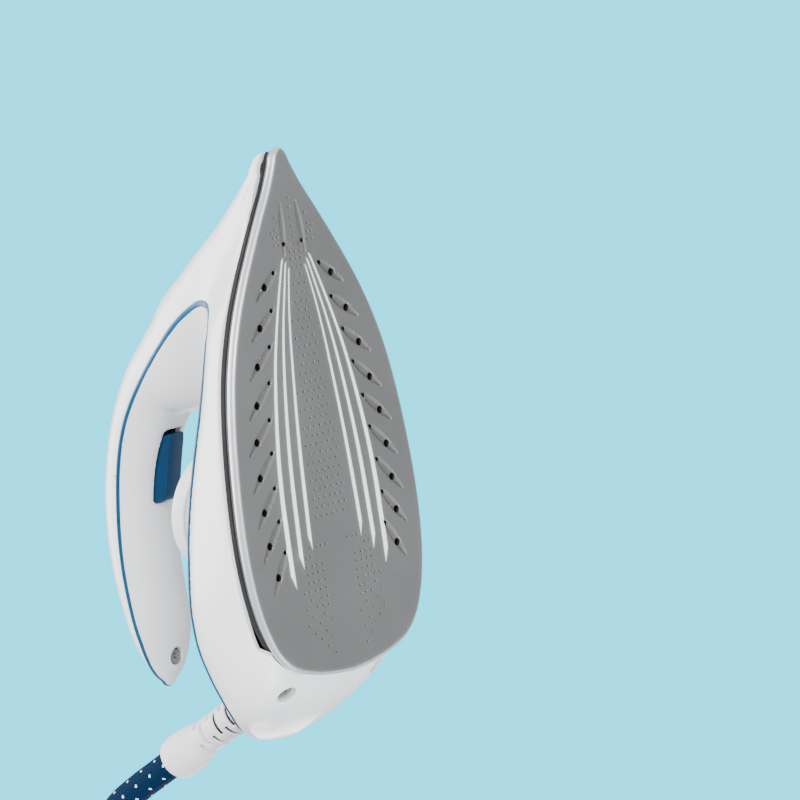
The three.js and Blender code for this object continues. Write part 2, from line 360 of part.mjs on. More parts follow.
add('handle_screw', aim(turned([[0, 0.4], [3.5, 0.4], [3.5, 2.5], [1.3, 2.5], [1.3, 7.2], [0, 7.2]], 12), TAIL.at, TAIL.dir), 0x9a9b9e, 0.35, 0.9);

// ---------------------------------------------------------------- steam trigger, its pin, spring and switch
const TRIG_SIDE = [[106.1, 84], [99, 86.2], [90, 88.8], [82, 91], [78.2, 92], [76.5, 93.6], [76, 96], [75.9, 101], [74.1, 101.9], [74, 105.6], [75.6, 107.2], [79.4, 107.2], [81.4, 105.6], [83, 103.2], [102.5, 103.2], [104.9, 97.5], [106.2, 90]];
add('steam_trigger', solidFrom(sidePrism(TRIG_SIDE, -TRIG.half, TRIG.half)).subtract(solidFrom(aim(rod(TRIG.pinR + 0.35, -12, 12, 12), pinAt, [0, 1, 0]))), 0x0a5386, 0.25);
add('trigger_pin', aim(rod(TRIG.pinR, -9.5, 9.5, 12), pinAt, [0, 1, 0]), 0xb9bbbd, 0.3, 0.9);
const spring = [];
for (let i = 0; i <= 60; i++) { const a = i / 60 * 5 * 2 * Math.PI; spring.push([88.5 + 2.8 * Math.cos(a), 2.8 * Math.sin(a), 104.1 + 14.6 * i / 60]); }
add('trigger_spring', sweep(spring, 0.45, 5, 60), 0xa0a2a5, 0.3, 0.9);
add('microswitch', box(92.5, 105.5, -4.5, 4.5, 106.4, 112.4).subtract(drill([[99, 0]], 1.7, 100, 110.8, 8)), 0x2b2c2e, 0.5);
add('microswitch_plunger', aim(rod(1.3, 103.55, 108.4, 8), [99, 0, 0], [0, 0, 1]), 0xc43c2c, 0.4);

// ---------------------------------------------------------------- temperature dial and spindle
const grips = [];
for (let i = 0; i < 36; i++) { const a = 2 * Math.PI * i / 36, r = DIAL.r - (i % 3 === 0 ? 0.9 : 0); grips.push([r * Math.cos(a), r * Math.sin(a)]); }
const dialSolid = solidFrom(extrude(grips, 0, DIAL.h - 1.6)).add(solidFrom(turned([[0, DIAL.h - 2], [DIAL.r - 1.2, DIAL.h - 2], [DIAL.r - 2.4, DIAL.h - 0.3], [DIAL.r - 3.4, DIAL.h], [0, DIAL.h]], 30)))
  .subtract(solidFrom(turned([[0, -1], [DIAL.r - 2.6, -1], [DIAL.r - 2.6, DIAL.h - 2.6], [0, DIAL.h - 2.6]], 24))).add(solidFrom(turned([[0, 0.6], [6.6, 0.6], [6.6, DIAL.h - 1], [0, DIAL.h - 1]], 16))).subtract(solidFrom(rod(SPINDLE_R + 0.35, -2, DIAL.h - 2.9, 12)));
const place = (m, at, dir) => { const q = new THREE.Quaternion().setFromUnitVectors(AX, new THREE.Vector3(...dir).normalize()); const g = geometryOf(m); g.applyMatrix4(new THREE.Matrix4().compose(new THREE.Vector3(at[0] - XO, at[1], at[2]), q, new THREE.Vector3(1, 1, 1))); return g; };
add('temperature_dial', place(dialSolid, dialAt, DN), 0xf2f2f2, 0.35);
add('dial_spindle', aim(rod(SPINDLE_R, -30.5, DIAL.h - 3.3, 12), dialAt, DN), 0xb9bbbd, 0.35, 0.9);

// ---------------------------------------------------------------- strain relief, hose and its far end
const along = (t) => [RELIEF.s + RD[0] * t, 0, RELIEF.z + RD[2] * t];
add('strain_relief', aim(turned([[0, -9], [7.4, -9], [8.2, 0], [8.2, 6], [7.9, 20], [8.3, 33], [9.6, 37], [10, 42], [9.9, 50.5], [8.8, RELIEF.len], [HOSE_R + 0.4, RELIEF.len], [HOSE_R + 0.4, 44], [0, 44]], 20), reliefAt, RD), 0xe6e2e4, 0.5);
const HOSE_START = along(44.4);
// free hose: straight out, over in one gentle arc, down on to the coil
const ARC = [[-54.0, 0, 138.2], [-63.5, 0.7, 154.5], [-75.8, 3.9, 168.5], [-90.7, 10.2, 178.0], [-106.8, 19.1, 181.9], [-122.4, 29.5, 179.9], [-135.6, 40.4, 172.2], [-145.4, 50.7, 159.8], [-151.2, 59.4, 144.1], [-153.3, 66.0, 126.6], [-151.8, 70.0, 108.2], [-146.9, 70.9, 90.0], [-138.7, 68.0, 73.4], [-127.5, 60.9, 60.0], [-114.6, 50.4, 51.2], [-101.3, 37.4, 48.2]];
const coilAt = (deg, z, r = COIL.r) => [COIL.s + r * Math.cos(deg * Math.PI / 180), COIL.y + r * Math.sin(deg * Math.PI / 180), z];
const lay = []; for (let a = 30; a > -89; a -= 14.6) lay.push(coilAt(a, COIL.z0 + 6.5 + 3 * COIL.pitch + 0.1));
add('hose', sweep([HOSE_START, along(56), along(68), ...ARC, ...lay], HOSE_R, 8, 46), 0x0b3c6b, 0.8);
// three stacked turns and the tail that leaves the bottom turn for the fitting
const ring = [[COIL.r - 6.8, 0], [COIL.r + 6.8, 0], [COIL.r + 6.8, 2 * COIL.pitch + 13], [COIL.r - 6.8, 2 * COIL.pitch + 13], [COIL.r - 6.8, 0]];
const tail = [0, 10, 20, 30, 40, 49.6].map((d) => { const t = d / 50; return [COIL.s - d, COIL.y - COIL.r, COIL.z0 + 6.5 + 4.6 * (3 * t * t - 2 * t * t * t)]; });
const ringSolid = solidFrom(aim(new THREE.LatheGeometry(ring.map((p) => V2(p[0], p[1])), 30).rotateX(Math.PI / 2), [COIL.s, COIL.y, COIL.z0], [0, 0, 1]));
add('hose_coil', ringSolid.add(solidFrom(sweep(tail, HOSE_R, 8, 8))), 0x0b3c6b, 0.8);
const tieTop = COIL.z0 + 2 * COIL.pitch + 13;
const tie = solidFrom(extrude([[COIL.r - 9, -tieTop - 1.6], [COIL.r + 9, -tieTop - 1.6], [COIL.r + 9, 0], [COIL.r - 9, 0]], -7, 7)).subtract(solidFrom(extrude([[COIL.r - 7.8, -tieTop - 0.5], [COIL.r + 7.8, -tieTop - 0.5], [COIL.r + 7.8, -1], [COIL.r - 7.8, -1]], -9, 9)));
{ const g = geometryOf(tie); g.rotateX(-Math.PI / 2); g.rotateZ(2.1); g.translate(COIL.s - XO, COIL.y, 0); add('hose_tie', g, 0x222325, 0.6); }
const gd = [-1, 0, 0], gAt = [COIL.s - 50, COIL.y - COIL.r, COIL.z0 + 11.1];
add('station_gland', aim(turned([[0, 0], [7.6, 0], [8.0, 4], [9.2, 22], [12.2, 22], [12.2, 26], [9.6, 26], [9.6, 29], [12.2, 29], [12.2, 36], [10, 38], [10, 42], [0, 42]], 18), gAt, gd), 0xe6e2e4, 0.5);
add('gland_nipple', aim(turned([[0, 42.4], [4, 42.4], [4, 50], [4.8, 50], [4.8, 52], [4, 52.6], [3.2, 56], [2, 56], [2, 46], [0, 46]], 12), gAt, gd), 0xc8a24a, 0.35, 0.9);

export default group;
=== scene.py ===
import math
import bpy
import bmesh
import numpy as np
from mathutils import Matrix, Vector
from mathutils.geometry import delaunay_2d_cdt
import json
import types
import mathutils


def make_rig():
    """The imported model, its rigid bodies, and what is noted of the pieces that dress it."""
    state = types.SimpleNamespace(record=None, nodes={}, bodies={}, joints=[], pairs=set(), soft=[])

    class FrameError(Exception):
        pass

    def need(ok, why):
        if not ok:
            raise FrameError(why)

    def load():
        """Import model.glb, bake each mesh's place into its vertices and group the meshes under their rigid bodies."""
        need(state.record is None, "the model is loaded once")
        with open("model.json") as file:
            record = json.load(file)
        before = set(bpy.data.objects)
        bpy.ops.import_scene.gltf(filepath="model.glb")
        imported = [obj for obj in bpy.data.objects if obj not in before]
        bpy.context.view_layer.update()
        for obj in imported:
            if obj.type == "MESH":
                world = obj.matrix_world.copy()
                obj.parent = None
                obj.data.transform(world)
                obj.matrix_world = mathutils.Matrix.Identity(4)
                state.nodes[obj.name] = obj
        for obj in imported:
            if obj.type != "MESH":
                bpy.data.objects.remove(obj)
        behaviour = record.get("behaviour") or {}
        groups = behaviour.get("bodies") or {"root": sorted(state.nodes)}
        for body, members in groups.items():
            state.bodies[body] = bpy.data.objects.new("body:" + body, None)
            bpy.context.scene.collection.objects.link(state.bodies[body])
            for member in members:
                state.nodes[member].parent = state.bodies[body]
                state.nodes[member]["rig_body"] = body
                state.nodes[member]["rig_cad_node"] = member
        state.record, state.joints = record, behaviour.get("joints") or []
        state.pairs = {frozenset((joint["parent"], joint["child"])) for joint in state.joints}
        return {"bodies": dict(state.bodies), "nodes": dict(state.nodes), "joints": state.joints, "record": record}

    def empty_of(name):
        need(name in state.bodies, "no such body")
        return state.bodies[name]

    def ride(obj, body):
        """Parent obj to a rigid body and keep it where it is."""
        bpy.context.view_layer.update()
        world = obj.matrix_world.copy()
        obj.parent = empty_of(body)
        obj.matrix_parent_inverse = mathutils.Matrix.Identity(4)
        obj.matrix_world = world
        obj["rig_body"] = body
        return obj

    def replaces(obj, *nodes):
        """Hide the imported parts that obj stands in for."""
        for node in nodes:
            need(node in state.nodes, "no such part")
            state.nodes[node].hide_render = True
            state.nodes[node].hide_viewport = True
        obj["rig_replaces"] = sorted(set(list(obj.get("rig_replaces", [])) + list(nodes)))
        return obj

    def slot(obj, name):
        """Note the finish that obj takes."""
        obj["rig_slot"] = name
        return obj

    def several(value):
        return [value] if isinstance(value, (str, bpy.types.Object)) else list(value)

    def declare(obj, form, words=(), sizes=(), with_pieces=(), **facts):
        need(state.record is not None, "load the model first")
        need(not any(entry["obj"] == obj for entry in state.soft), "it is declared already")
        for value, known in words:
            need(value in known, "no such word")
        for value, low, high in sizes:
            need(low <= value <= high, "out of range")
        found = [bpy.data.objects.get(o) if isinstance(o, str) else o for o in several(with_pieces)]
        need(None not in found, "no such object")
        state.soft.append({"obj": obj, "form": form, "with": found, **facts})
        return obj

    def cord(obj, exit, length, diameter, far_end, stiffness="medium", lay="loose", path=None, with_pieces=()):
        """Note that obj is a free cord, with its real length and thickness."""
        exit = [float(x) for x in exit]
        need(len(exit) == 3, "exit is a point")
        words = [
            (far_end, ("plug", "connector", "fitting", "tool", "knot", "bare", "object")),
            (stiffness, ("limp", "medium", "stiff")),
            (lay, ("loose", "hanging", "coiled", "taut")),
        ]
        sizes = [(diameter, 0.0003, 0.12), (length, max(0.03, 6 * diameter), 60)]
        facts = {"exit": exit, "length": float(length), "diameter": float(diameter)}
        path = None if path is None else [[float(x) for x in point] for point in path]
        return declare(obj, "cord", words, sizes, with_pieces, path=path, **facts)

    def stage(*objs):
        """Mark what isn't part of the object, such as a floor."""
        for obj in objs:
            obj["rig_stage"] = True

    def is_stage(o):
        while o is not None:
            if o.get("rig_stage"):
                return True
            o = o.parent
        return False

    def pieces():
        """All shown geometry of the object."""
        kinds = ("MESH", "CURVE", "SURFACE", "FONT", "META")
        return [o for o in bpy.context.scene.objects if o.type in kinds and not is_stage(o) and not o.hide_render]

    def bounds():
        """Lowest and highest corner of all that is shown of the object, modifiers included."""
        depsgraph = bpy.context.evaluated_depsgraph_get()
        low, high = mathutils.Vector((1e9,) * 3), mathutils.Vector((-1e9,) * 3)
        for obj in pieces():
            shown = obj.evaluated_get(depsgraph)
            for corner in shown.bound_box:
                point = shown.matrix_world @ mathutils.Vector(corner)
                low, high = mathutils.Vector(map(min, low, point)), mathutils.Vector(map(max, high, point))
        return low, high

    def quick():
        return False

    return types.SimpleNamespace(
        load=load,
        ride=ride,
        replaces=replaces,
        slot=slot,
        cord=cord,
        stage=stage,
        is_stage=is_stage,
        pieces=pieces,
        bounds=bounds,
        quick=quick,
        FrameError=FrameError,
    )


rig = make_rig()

for _o in list(bpy.data.objects):
    bpy.data.objects.remove(_o, do_unlink=True)
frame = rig.load()
NODES = frame["nodes"]
SIZE0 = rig.bounds()
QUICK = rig.quick()
XO = 114.0                       # row x = s - XO, everything below is in millimetres until it becomes a mesh
rng = np.random.default_rng(7)

# ------------------------------------------------------------------ camera
cam = bpy.data.objects.new("camera", bpy.data.cameras.new("camera"))
bpy.context.scene.collection.objects.link(cam)
RIGHT, UP, FWD = Vector((-0.14202, 0.63298, -0.76103)), Vector((0.98429, 0.17175, -0.04084)), Vector((-0.10486, 0.75488, 0.64743))
m = Matrix.Identity(4)
for i in range(3):
    m[i][0], m[i][1], m[i][2] = RIGHT[i], UP[i], -FWD[i]
m[0][3], m[1][3], m[2][3] = 0.22263, -1.59212, -1.41231
cam.matrix_world = m
cam.data.lens = 223.9
cam.data.sensor_width = 36.0
cam.data.sensor_fit = "HORIZONTAL"
cam.data.clip_end = 30
cam.data.clip_start = 0.05
bpy.context.scene.camera = cam


# ------------------------------------------------------------------ small mesh tools
def make(name, V, F, mats, smooth=True, s_frame=True, mi=None, uv=None, sharp=None):
    """Mesh object from points in mm (s, y, z) and faces."""
    V = np.asarray(V, float).copy()
    if s_frame:
        V[:, 0] -= XO
    V *= 0.001
    me = bpy.data.meshes.new(name)
    F = [list(map(int, f)) for f in F]
    me.from_pydata([tuple(p) for p in V], [], F)
    me.validate(clean_customdata=False)
    for mt in mats if isinstance(mats, (list, tuple)) else [mats]:
        me.materials.append(mt)
    if mi is not None and len(me.polygons) == len(mi):
        me.polygons.foreach_set("material_index", np.asarray(mi, np.int32))
    me.polygons.foreach_set("use_smooth", np.full(len(me.polygons), bool(smooth)))
    if uv is not None:
        layer = me.uv_layers.new(name="UVMap")
        li = np.empty(len(me.loops), np.int32)
        me.loops.foreach_get("vertex_index", li)
        layer.data.foreach_set("uv", np.asarray(uv, np.float32)[li].ravel())
    if sharp is not None:
        me.set_sharp_from_angle(angle=math.radians(sharp))
    me.update()
    o = bpy.data.objects.new(name, me)
    bpy.context.scene.collection.objects.link(o)
    return o


def recalc(o):
    bm = bmesh.new()
    bm.from_mesh(o.data)
    bmesh.ops.remove_doubles(bm, verts=bm.verts, dist=1e-6)
    bmesh.ops.recalc_face_normals(bm, faces=bm.faces)
    bm.to_mesh(o.data)
    bm.free()
    return o


def unit(v):
    v = np.asarray(v, float)
    return v / np.maximum(np.linalg.norm(v, axis=-1, keepdims=True), 1e-12)


def basis(d):
    d = unit(d)
    a = np.array([0, 1.0, 0]) if abs(d[1]) < 0.9 else np.array([1.0, 0, 0])
    x = unit(np.cross(a, d))
    return x, np.cross(d, x), d


def lathe(profile, at, d, seg=64, xy=None):
    """Closed turned surface: profile [[r, z]...] about d through at (mm)."""
    x, y, z = basis(d) if xy is None else (*xy, unit(d))
    P = np.asarray(profile, float)
    V, F, ring = [], [], []
    for r, h in P:
        if r < 1e-6:
            ring.append([len(V)])
            V.append(np.asarray(at) + z * h)
        else:
            ring.append(list(range(len(V), len(V) + seg)))
            for i in range(seg):
                a = 2 * math.pi * i / seg
                V.append(np.asarray(at) + x * r * math.cos(a) + y * r * math.sin(a) + z * h)
    for A, B in zip(ring[:-1], ring[1:]):
        for i in range(seg):
            j = (i + 1) % seg
            if len(A) == 1 and len(B) == 1:
                break
            if len(A) == 1:
                F.append([A[0], B[j], B[i]])
            elif len(B) == 1:
                F.append([A[i], A[j], B[0]])
            else:
                F.append([A[i], A[j], B[j], B[i]])
    return np.array(V), F


def rounded(profile, r=0.4, n=3):
    """Rounds the corners of an open [[r, z]...] profile."""
    P = [np.array(p, float) for p in profile]
    out = [P[0]]
    for a, b, c in zip(P[:-2], P[1:-1], P[2:]):
        u, v = a - b, c - b
        lu, lv = np.linalg.norm(u), np.linalg.norm(v)
        k = min(r, lu * 0.45, lv * 0.45)
        if k < 1e-3:
            out.append(b)
            continue
        p, q = b + u / lu * k, b + v / lv * k
        for i in range(n + 1):
            t = i / n
            out.append((1 - t) ** 2 * p + 2 * t * (1 - t) * b + t * t * q)
    out.append(P[-1])
    return out


def merge(parts):
    V, F, n = [], [], 0
    for v, f in parts:
        V.append(np.asarray(v, float))
        F += [[i + n for i in q] for q in f]
        n += len(v)
    return np.vstack(V), F


def hermite(xs, ys):
    xs, ys = np.asarray(xs, float), np.asarray(ys, float)
    mm, d, dx = np.zeros_like(ys), np.diff(ys) / np.diff(xs), np.diff(xs)
    mm[1:-1] = (d[:-1] * dx[1:] + d[1:] * dx[:-1]) / (xs[2:] - xs[:-2])
    mm[0], mm[-1] = d[0], d[-1]

    def f(x):
        x = np.clip(np.asarray(x, float), xs[0], xs[-1])
        i = np.clip(np.searchsorted(xs, x, side="right") - 1, 0, len(xs) - 2)
        h = xs[i + 1] - xs[i]
        t = (x - xs[i]) / h
        t2, t3 = t * t, t * t * t
        return (2 * t3 - 3 * t2 + 1) * ys[i] + (t3 - 2 * t2 + t) * h * mm[i] + (-2 * t3 + 3 * t2) * ys[i + 1] + (t3 - t2) * h * mm[i + 1]

    return f


def centripetal(P, n):
    """n points evenly spaced along a centripetal Catmull-Rom curve through P."""
    P = np.asarray(P, float)
    E = np.vstack([2 * P[0] - P[1], P, 2 * P[-1] - P[-2]])
    out = []
    for i in range(1, len(E) - 2):
        p0, p1, p2, p3 = E[i - 1 : i + 3]
        d0, d1, d2 = [max(np.linalg.norm(b - a) ** 0.5, 1e-4) for a, b in ((p0, p1), (p1, p2), (p2, p3))]
        t1 = ((p1 - p0) / d0 - (p2 - p0) / (d0 + d1) + (p2 - p1) / d1) * d1
        t2 = ((p2 - p1) / d1 - (p3 - p1) / (d1 + d2) + (p3 - p2) / d2) * d1
        t = np.linspace(0, 1, 25)[:, None]
        if i < len(E) - 3:
            t = t[:-1]
        out.append((2 * t**3 - 3 * t**2 + 1) * p1 + (t**3 - 2 * t**2 + t) * t1 + (-2 * t**3 + 3 * t**2) * p2 + (t**3 - t**2) * t2)
    C = np.vstack(out)
    L = np.r_[0, np.cumsum(np.linalg.norm(np.diff(C, axis=0), axis=1))]
    u = np.linspace(0, L[-1], n)
    return np.stack([np.interp(u, L, C[:, k]) for k in range(C.shape[1])], 1)


# ------------------------------------------------------------------ materials
def _sock(n, *names):
    for k in names:
        if k in n.inputs:
            return n.inputs[k]
    raise KeyError(names)


def material(name, base, rough, metal=0.0, coat=0.0, spec=0.5, var=0.05, scale=26.0, rvar=0.07, bump=0.12, grain=1400.0, depth=0.00004, stretch=(1, 1, 1), edge=0.0, speck=None, sheen=0.0, hue=None):
    """Moulded or worked surface: cloudy colour, uneven gloss, fine grain, paler worn edges."""
    mt = bpy.data.materials.new(name)
    mt.use_nodes = True
    nt = mt.node_tree
    nt.nodes.clear()
    L = nt.links.new
    out = nt.nodes.new("ShaderNodeOutputMaterial")
    b = nt.nodes.new("ShaderNodeBsdfPrincipled")
    L(b.outputs["BSDF"], out.inputs["Surface"])
    b.inputs["Metallic"].default_value = metal
    _sock(b, "Specular IOR Level").default_value = spec
    _sock(b, "Coat Weight").default_value = coat
    _sock(b, "Coat Roughness").default_value = 0.12
    if sheen:
        _sock(b, "Sheen Weight").default_value = sheen
    tc = nt.nodes.new("ShaderNodeTexCoord")
    mp = nt.nodes.new("ShaderNodeMapping")
    mp.inputs["Scale"].default_value = stretch
    L(tc.outputs["Object"], mp.inputs["Vector"])
    cloud = nt.nodes.new("ShaderNodeTexNoise")
    cloud.inputs["Scale"].default_value = scale
    cloud.inputs["Detail"].default_value = 5
    L(mp.outputs["Vector"], cloud.inputs["Vector"])
    ramp = nt.nodes.new("ShaderNodeValToRGB")
    c0 = [max(0.0, c * (1 - var)) for c in base]
    c1 = [min(1.0, c * (1 + var * 0.8)) for c in base]
    if hue:
        c1 = list(hue)
    ramp.color_ramp.elements[0].position, ramp.color_ramp.elements[1].position = 0.32, 0.68
    ramp.color_ramp.elements[0].color = (*c0, 1)
    ramp.color_ramp.elements[1].color = (*c1, 1)
    L(cloud.outputs["Fac"], ramp.inputs["Fac"])
    col = ramp.outputs["Color"]
    if speck:
        sp = nt.nodes.new("ShaderNodeTexNoise")
        sp.inputs["Scale"].default_value = speck[0]
        sp.inputs["Detail"].default_value = 1
        L(tc.outputs["Object"], sp.inputs["Vector"])
        sr = nt.nodes.new("ShaderNodeMapRange")
        sr.inputs["From Min"].default_value, sr.inputs["From Max"].default_value = speck[1], speck[1] + 0.08
        sr.inputs["To Max"].default_value = speck[3]
        L(sp.outputs["Fac"], sr.inputs["Value"])
        mx = nt.nodes.new("ShaderNodeMix")
        mx.data_type = "RGBA"
        L(sr.outputs["Result"], mx.inputs["Factor"])
        L(col, mx.inputs["A"])
        mx.inputs["B"].default_value = (*speck[2], 1)
        col = mx.outputs["Result"]
    if edge:
        geo = nt.nodes.new("ShaderNodeNewGeometry")
        er = nt.nodes.new("ShaderNodeMapRange")
        er.inputs["From Min"].default_value, er.inputs["From Max"].default_value = 0.53, 0.62
        er.inputs["To Max"].default_value = abs(edge)
        L(geo.outputs["Pointiness"], er.inputs["Value"])
        mx = nt.nodes.new("ShaderNodeMix")
        mx.data_type = "RGBA"
        L(er.outputs["Result"], mx.inputs["Factor"])
        L(col, mx.inputs["A"])
        mx.inputs["B"].default_value = (*[min(1.0, c * 1.35 + 0.06) for c in base], 1)
        col = mx.outputs["Result"]
    L(col, b.inputs["Base Color"])
    rn = nt.nodes.new("ShaderNodeTexNoise")
    rn.inputs["Scale"].default_value = scale * 4.3
    rn.inputs["Detail"].default_value = 4
    L(mp.outputs["Vector"], rn.inputs["Vector"])
    rr = nt.nodes.new("ShaderNodeMapRange")
    rr.inputs["To Min"].default_value, rr.inputs["To Max"].default_value = max(0.03, rough - rvar), min(1.0, rough + rvar)
    L(rn.outputs["Fac"], rr.inputs["Value"])
    L(rr.outputs["Result"], b.inputs["Roughness"])
    gn = nt.nodes.new("ShaderNodeTexNoise")
    gn.inputs["Scale"].default_value = grain
    gn.inputs["Detail"].default_value = 2
    L(mp.outputs["Vector"], gn.inputs["Vector"])
    bp = nt.nodes.new("ShaderNodeBump")
    bp.inputs["Strength"].default_value = bump
    bp.inputs["Distance"].default_value = depth
    L(gn.outputs["Fac"], bp.inputs["Height"])
    L(bp.outputs["Normal"], b.inputs["Normal"])
    return mt


WHITE = material("shell_white", (0.84, 0.84, 0.845), 0.30, coat=0.25, var=0.015, bump=0.06, grain=1800, rvar=0.05)
LINER = material("liner_grey", (0.62, 0.62, 0.63), 0.42, var=0.02, bump=0.16, grain=1500)
# painted shade: a darker copy of the liner grey for the plinth under the dial, which takes the liner's finish
PLINTH_SHADE = material("plinth_grey", (0.55, 0.53, 0.54), 0.42, var=0.03, bump=0.14, grain=1500)
SOLE = material("sole_metal", (0.25, 0.25, 0.252), 0.42, metal=0.35, var=0.07, scale=14, rvar=0.06, bump=0.10, grain=2600, depth=0.00002, stretch=(1, 1, 1), edge=0.25)
SOLE_EDGE = material("sole_edge", (0.62, 0.62, 0.64), 0.30, metal=0.75, var=0.05, scale=30, bump=0.12, grain=700, stretch=(0.3, 0.3, 3.0), edge=0.2)
PRINT = material("sole_print", (0.96, 0.96, 0.96), 0.45, var=0.03, scale=60, bump=0.08, grain=2200, speck=(900, 0.62, (0.55, 0.55, 0.56), 0.35))
# painted shade: near-black for the sole's hole walls, hole ends and dimple floors
HOLE_SHADE = material("hole_dark", (0.03, 0.03, 0.032), 0.6, metal=0.2, var=0.2, scale=200)
GASKET = material("gasket_black", (0.012, 0.012, 0.013), 0.62, var=0.25, scale=60, bump=0.25, grain=900, spec=0.35)
# painted light: a lighter grey copy of the gasket black for the band's lowest outer strip
GASKET_LIT = material("gasket_grey", (0.07, 0.07, 0.073), 0.6, var=0.15, scale=60, bump=0.2, grain=900, spec=0.35)
CAST = material("cast_metal", (0.45, 0.45, 0.46), 0.55, metal=0.85, var=0.12, scale=60, bump=0.6, grain=500, depth=0.0001)
STEEL = material("steel", (0.55, 0.56, 0.57), 0.32, metal=0.95, var=0.06, scale=90, bump=0.2, grain=1200, stretch=(0.2, 1, 1), edge=0.15)
TRIGGER = material("trigger_blue", (0.0, 0.022, 0.062), 0.3, coat=0.05, spec=0.16, var=0.10, scale=30, bump=0.05, grain=1500, edge=0.1)
BLACK = material("dark_plastic", (0.03, 0.03, 0.033), 0.5, var=0.15, scale=60, bump=0.2, grain=1400, edge=0.1)
DIALW = material("dial_white", (0.78, 0.78, 0.79), 0.33, coat=0.15, var=0.02, bump=0.08, grain=1600)
MARK = material("dial_mark", (0.02, 0.07, 0.15), 0.45, var=0.08, scale=200, bump=0.1)
RELIEF = material("relief_grey", (0.74, 0.71, 0.725), 0.55, var=0.03, scale=60, bump=0.2, grain=1300, sheen=0.05)
SCREW = material("screw_dark", (0.17, 0.17, 0.175), 0.4, metal=0.7, var=0.08, scale=120, bump=0.2, grain=1200)
# painted shade: near-black colour for the insides of the strain relief's slots
SLOT_SHADE = material("relief_slot", (0.03, 0.03, 0.032), 0.7, var=0.1, scale=200)
SILICONE = material("silicone", (0.42, 0.16, 0.09), 0.5, var=0.08, scale=60, bump=0.1)
BRASS = material("brass", (0.62, 0.44, 0.17), 0.28, metal=1.0, var=0.10, scale=120, bump=0.15, grain=1500, edge=0.2)
STRAP = material("strap_black", (0.02, 0.02, 0.022), 0.85, var=0.3, scale=300, bump=0.7, grain=1100, depth=0.0002, sheen=0.3)


def trim_material_painted_light():
    """Blue strip with painted shade along the handle and painted light round the front tip."""
    mt = material("trim_blue", (0.0, 0.062, 0.138), 0.3, coat=0.05, spec=0.2, var=0.08, scale=40, bump=0.05, edge=0.15)
    nt = mt.node_tree
    b = next(n for n in nt.nodes if n.type == "BSDF_PRINCIPLED")
    old = b.inputs["Base Color"].links[0].from_socket
    tc = nt.nodes.new("ShaderNodeTexCoord")
    sep = nt.nodes.new("ShaderNodeSeparateXYZ")
    nt.links.new(tc.outputs["Object"], sep.inputs["Vector"])
    mr = nt.nodes.new("ShaderNodeMapRange")
    mr.inputs["From Min"].default_value, mr.inputs["From Max"].default_value = -0.12, 0.05
    nt.links.new(sep.outputs["X"], mr.inputs["Value"])
    # painted light and shade: this ramp by position multiplies the blue darker along the handle and brighter round the
    # front tip
    trim_light_ramp = nt.nodes.new("ShaderNodeValToRGB")
    e = trim_light_ramp.color_ramp.elements
    e[0].position, e[0].color = 0.0, (0.55, 0.95, 0.85, 1)
    e[1].position, e[1].color = 1.0, (1.5, 1.15, 1.25, 1)
    k = e.new(0.55)
    k.color = (0.55, 0.62, 0.72, 1)
    nt.links.new(mr.outputs["Result"], trim_light_ramp.inputs["Fac"])
    mx = nt.nodes.new("ShaderNodeMix")
    mx.data_type, mx.blend_type = "RGBA", "MULTIPLY"
    mx.inputs["Factor"].default_value = 1.0
    nt.links.new(old, mx.inputs["A"])
    nt.links.new(trim_light_ramp.outputs["Color"], mx.inputs["B"])
    nt.links.new(mx.outputs["Result"], b.inputs["Base Color"])
    return mt


TRIM_PAINTED_LIGHT = trim_material_painted_light()


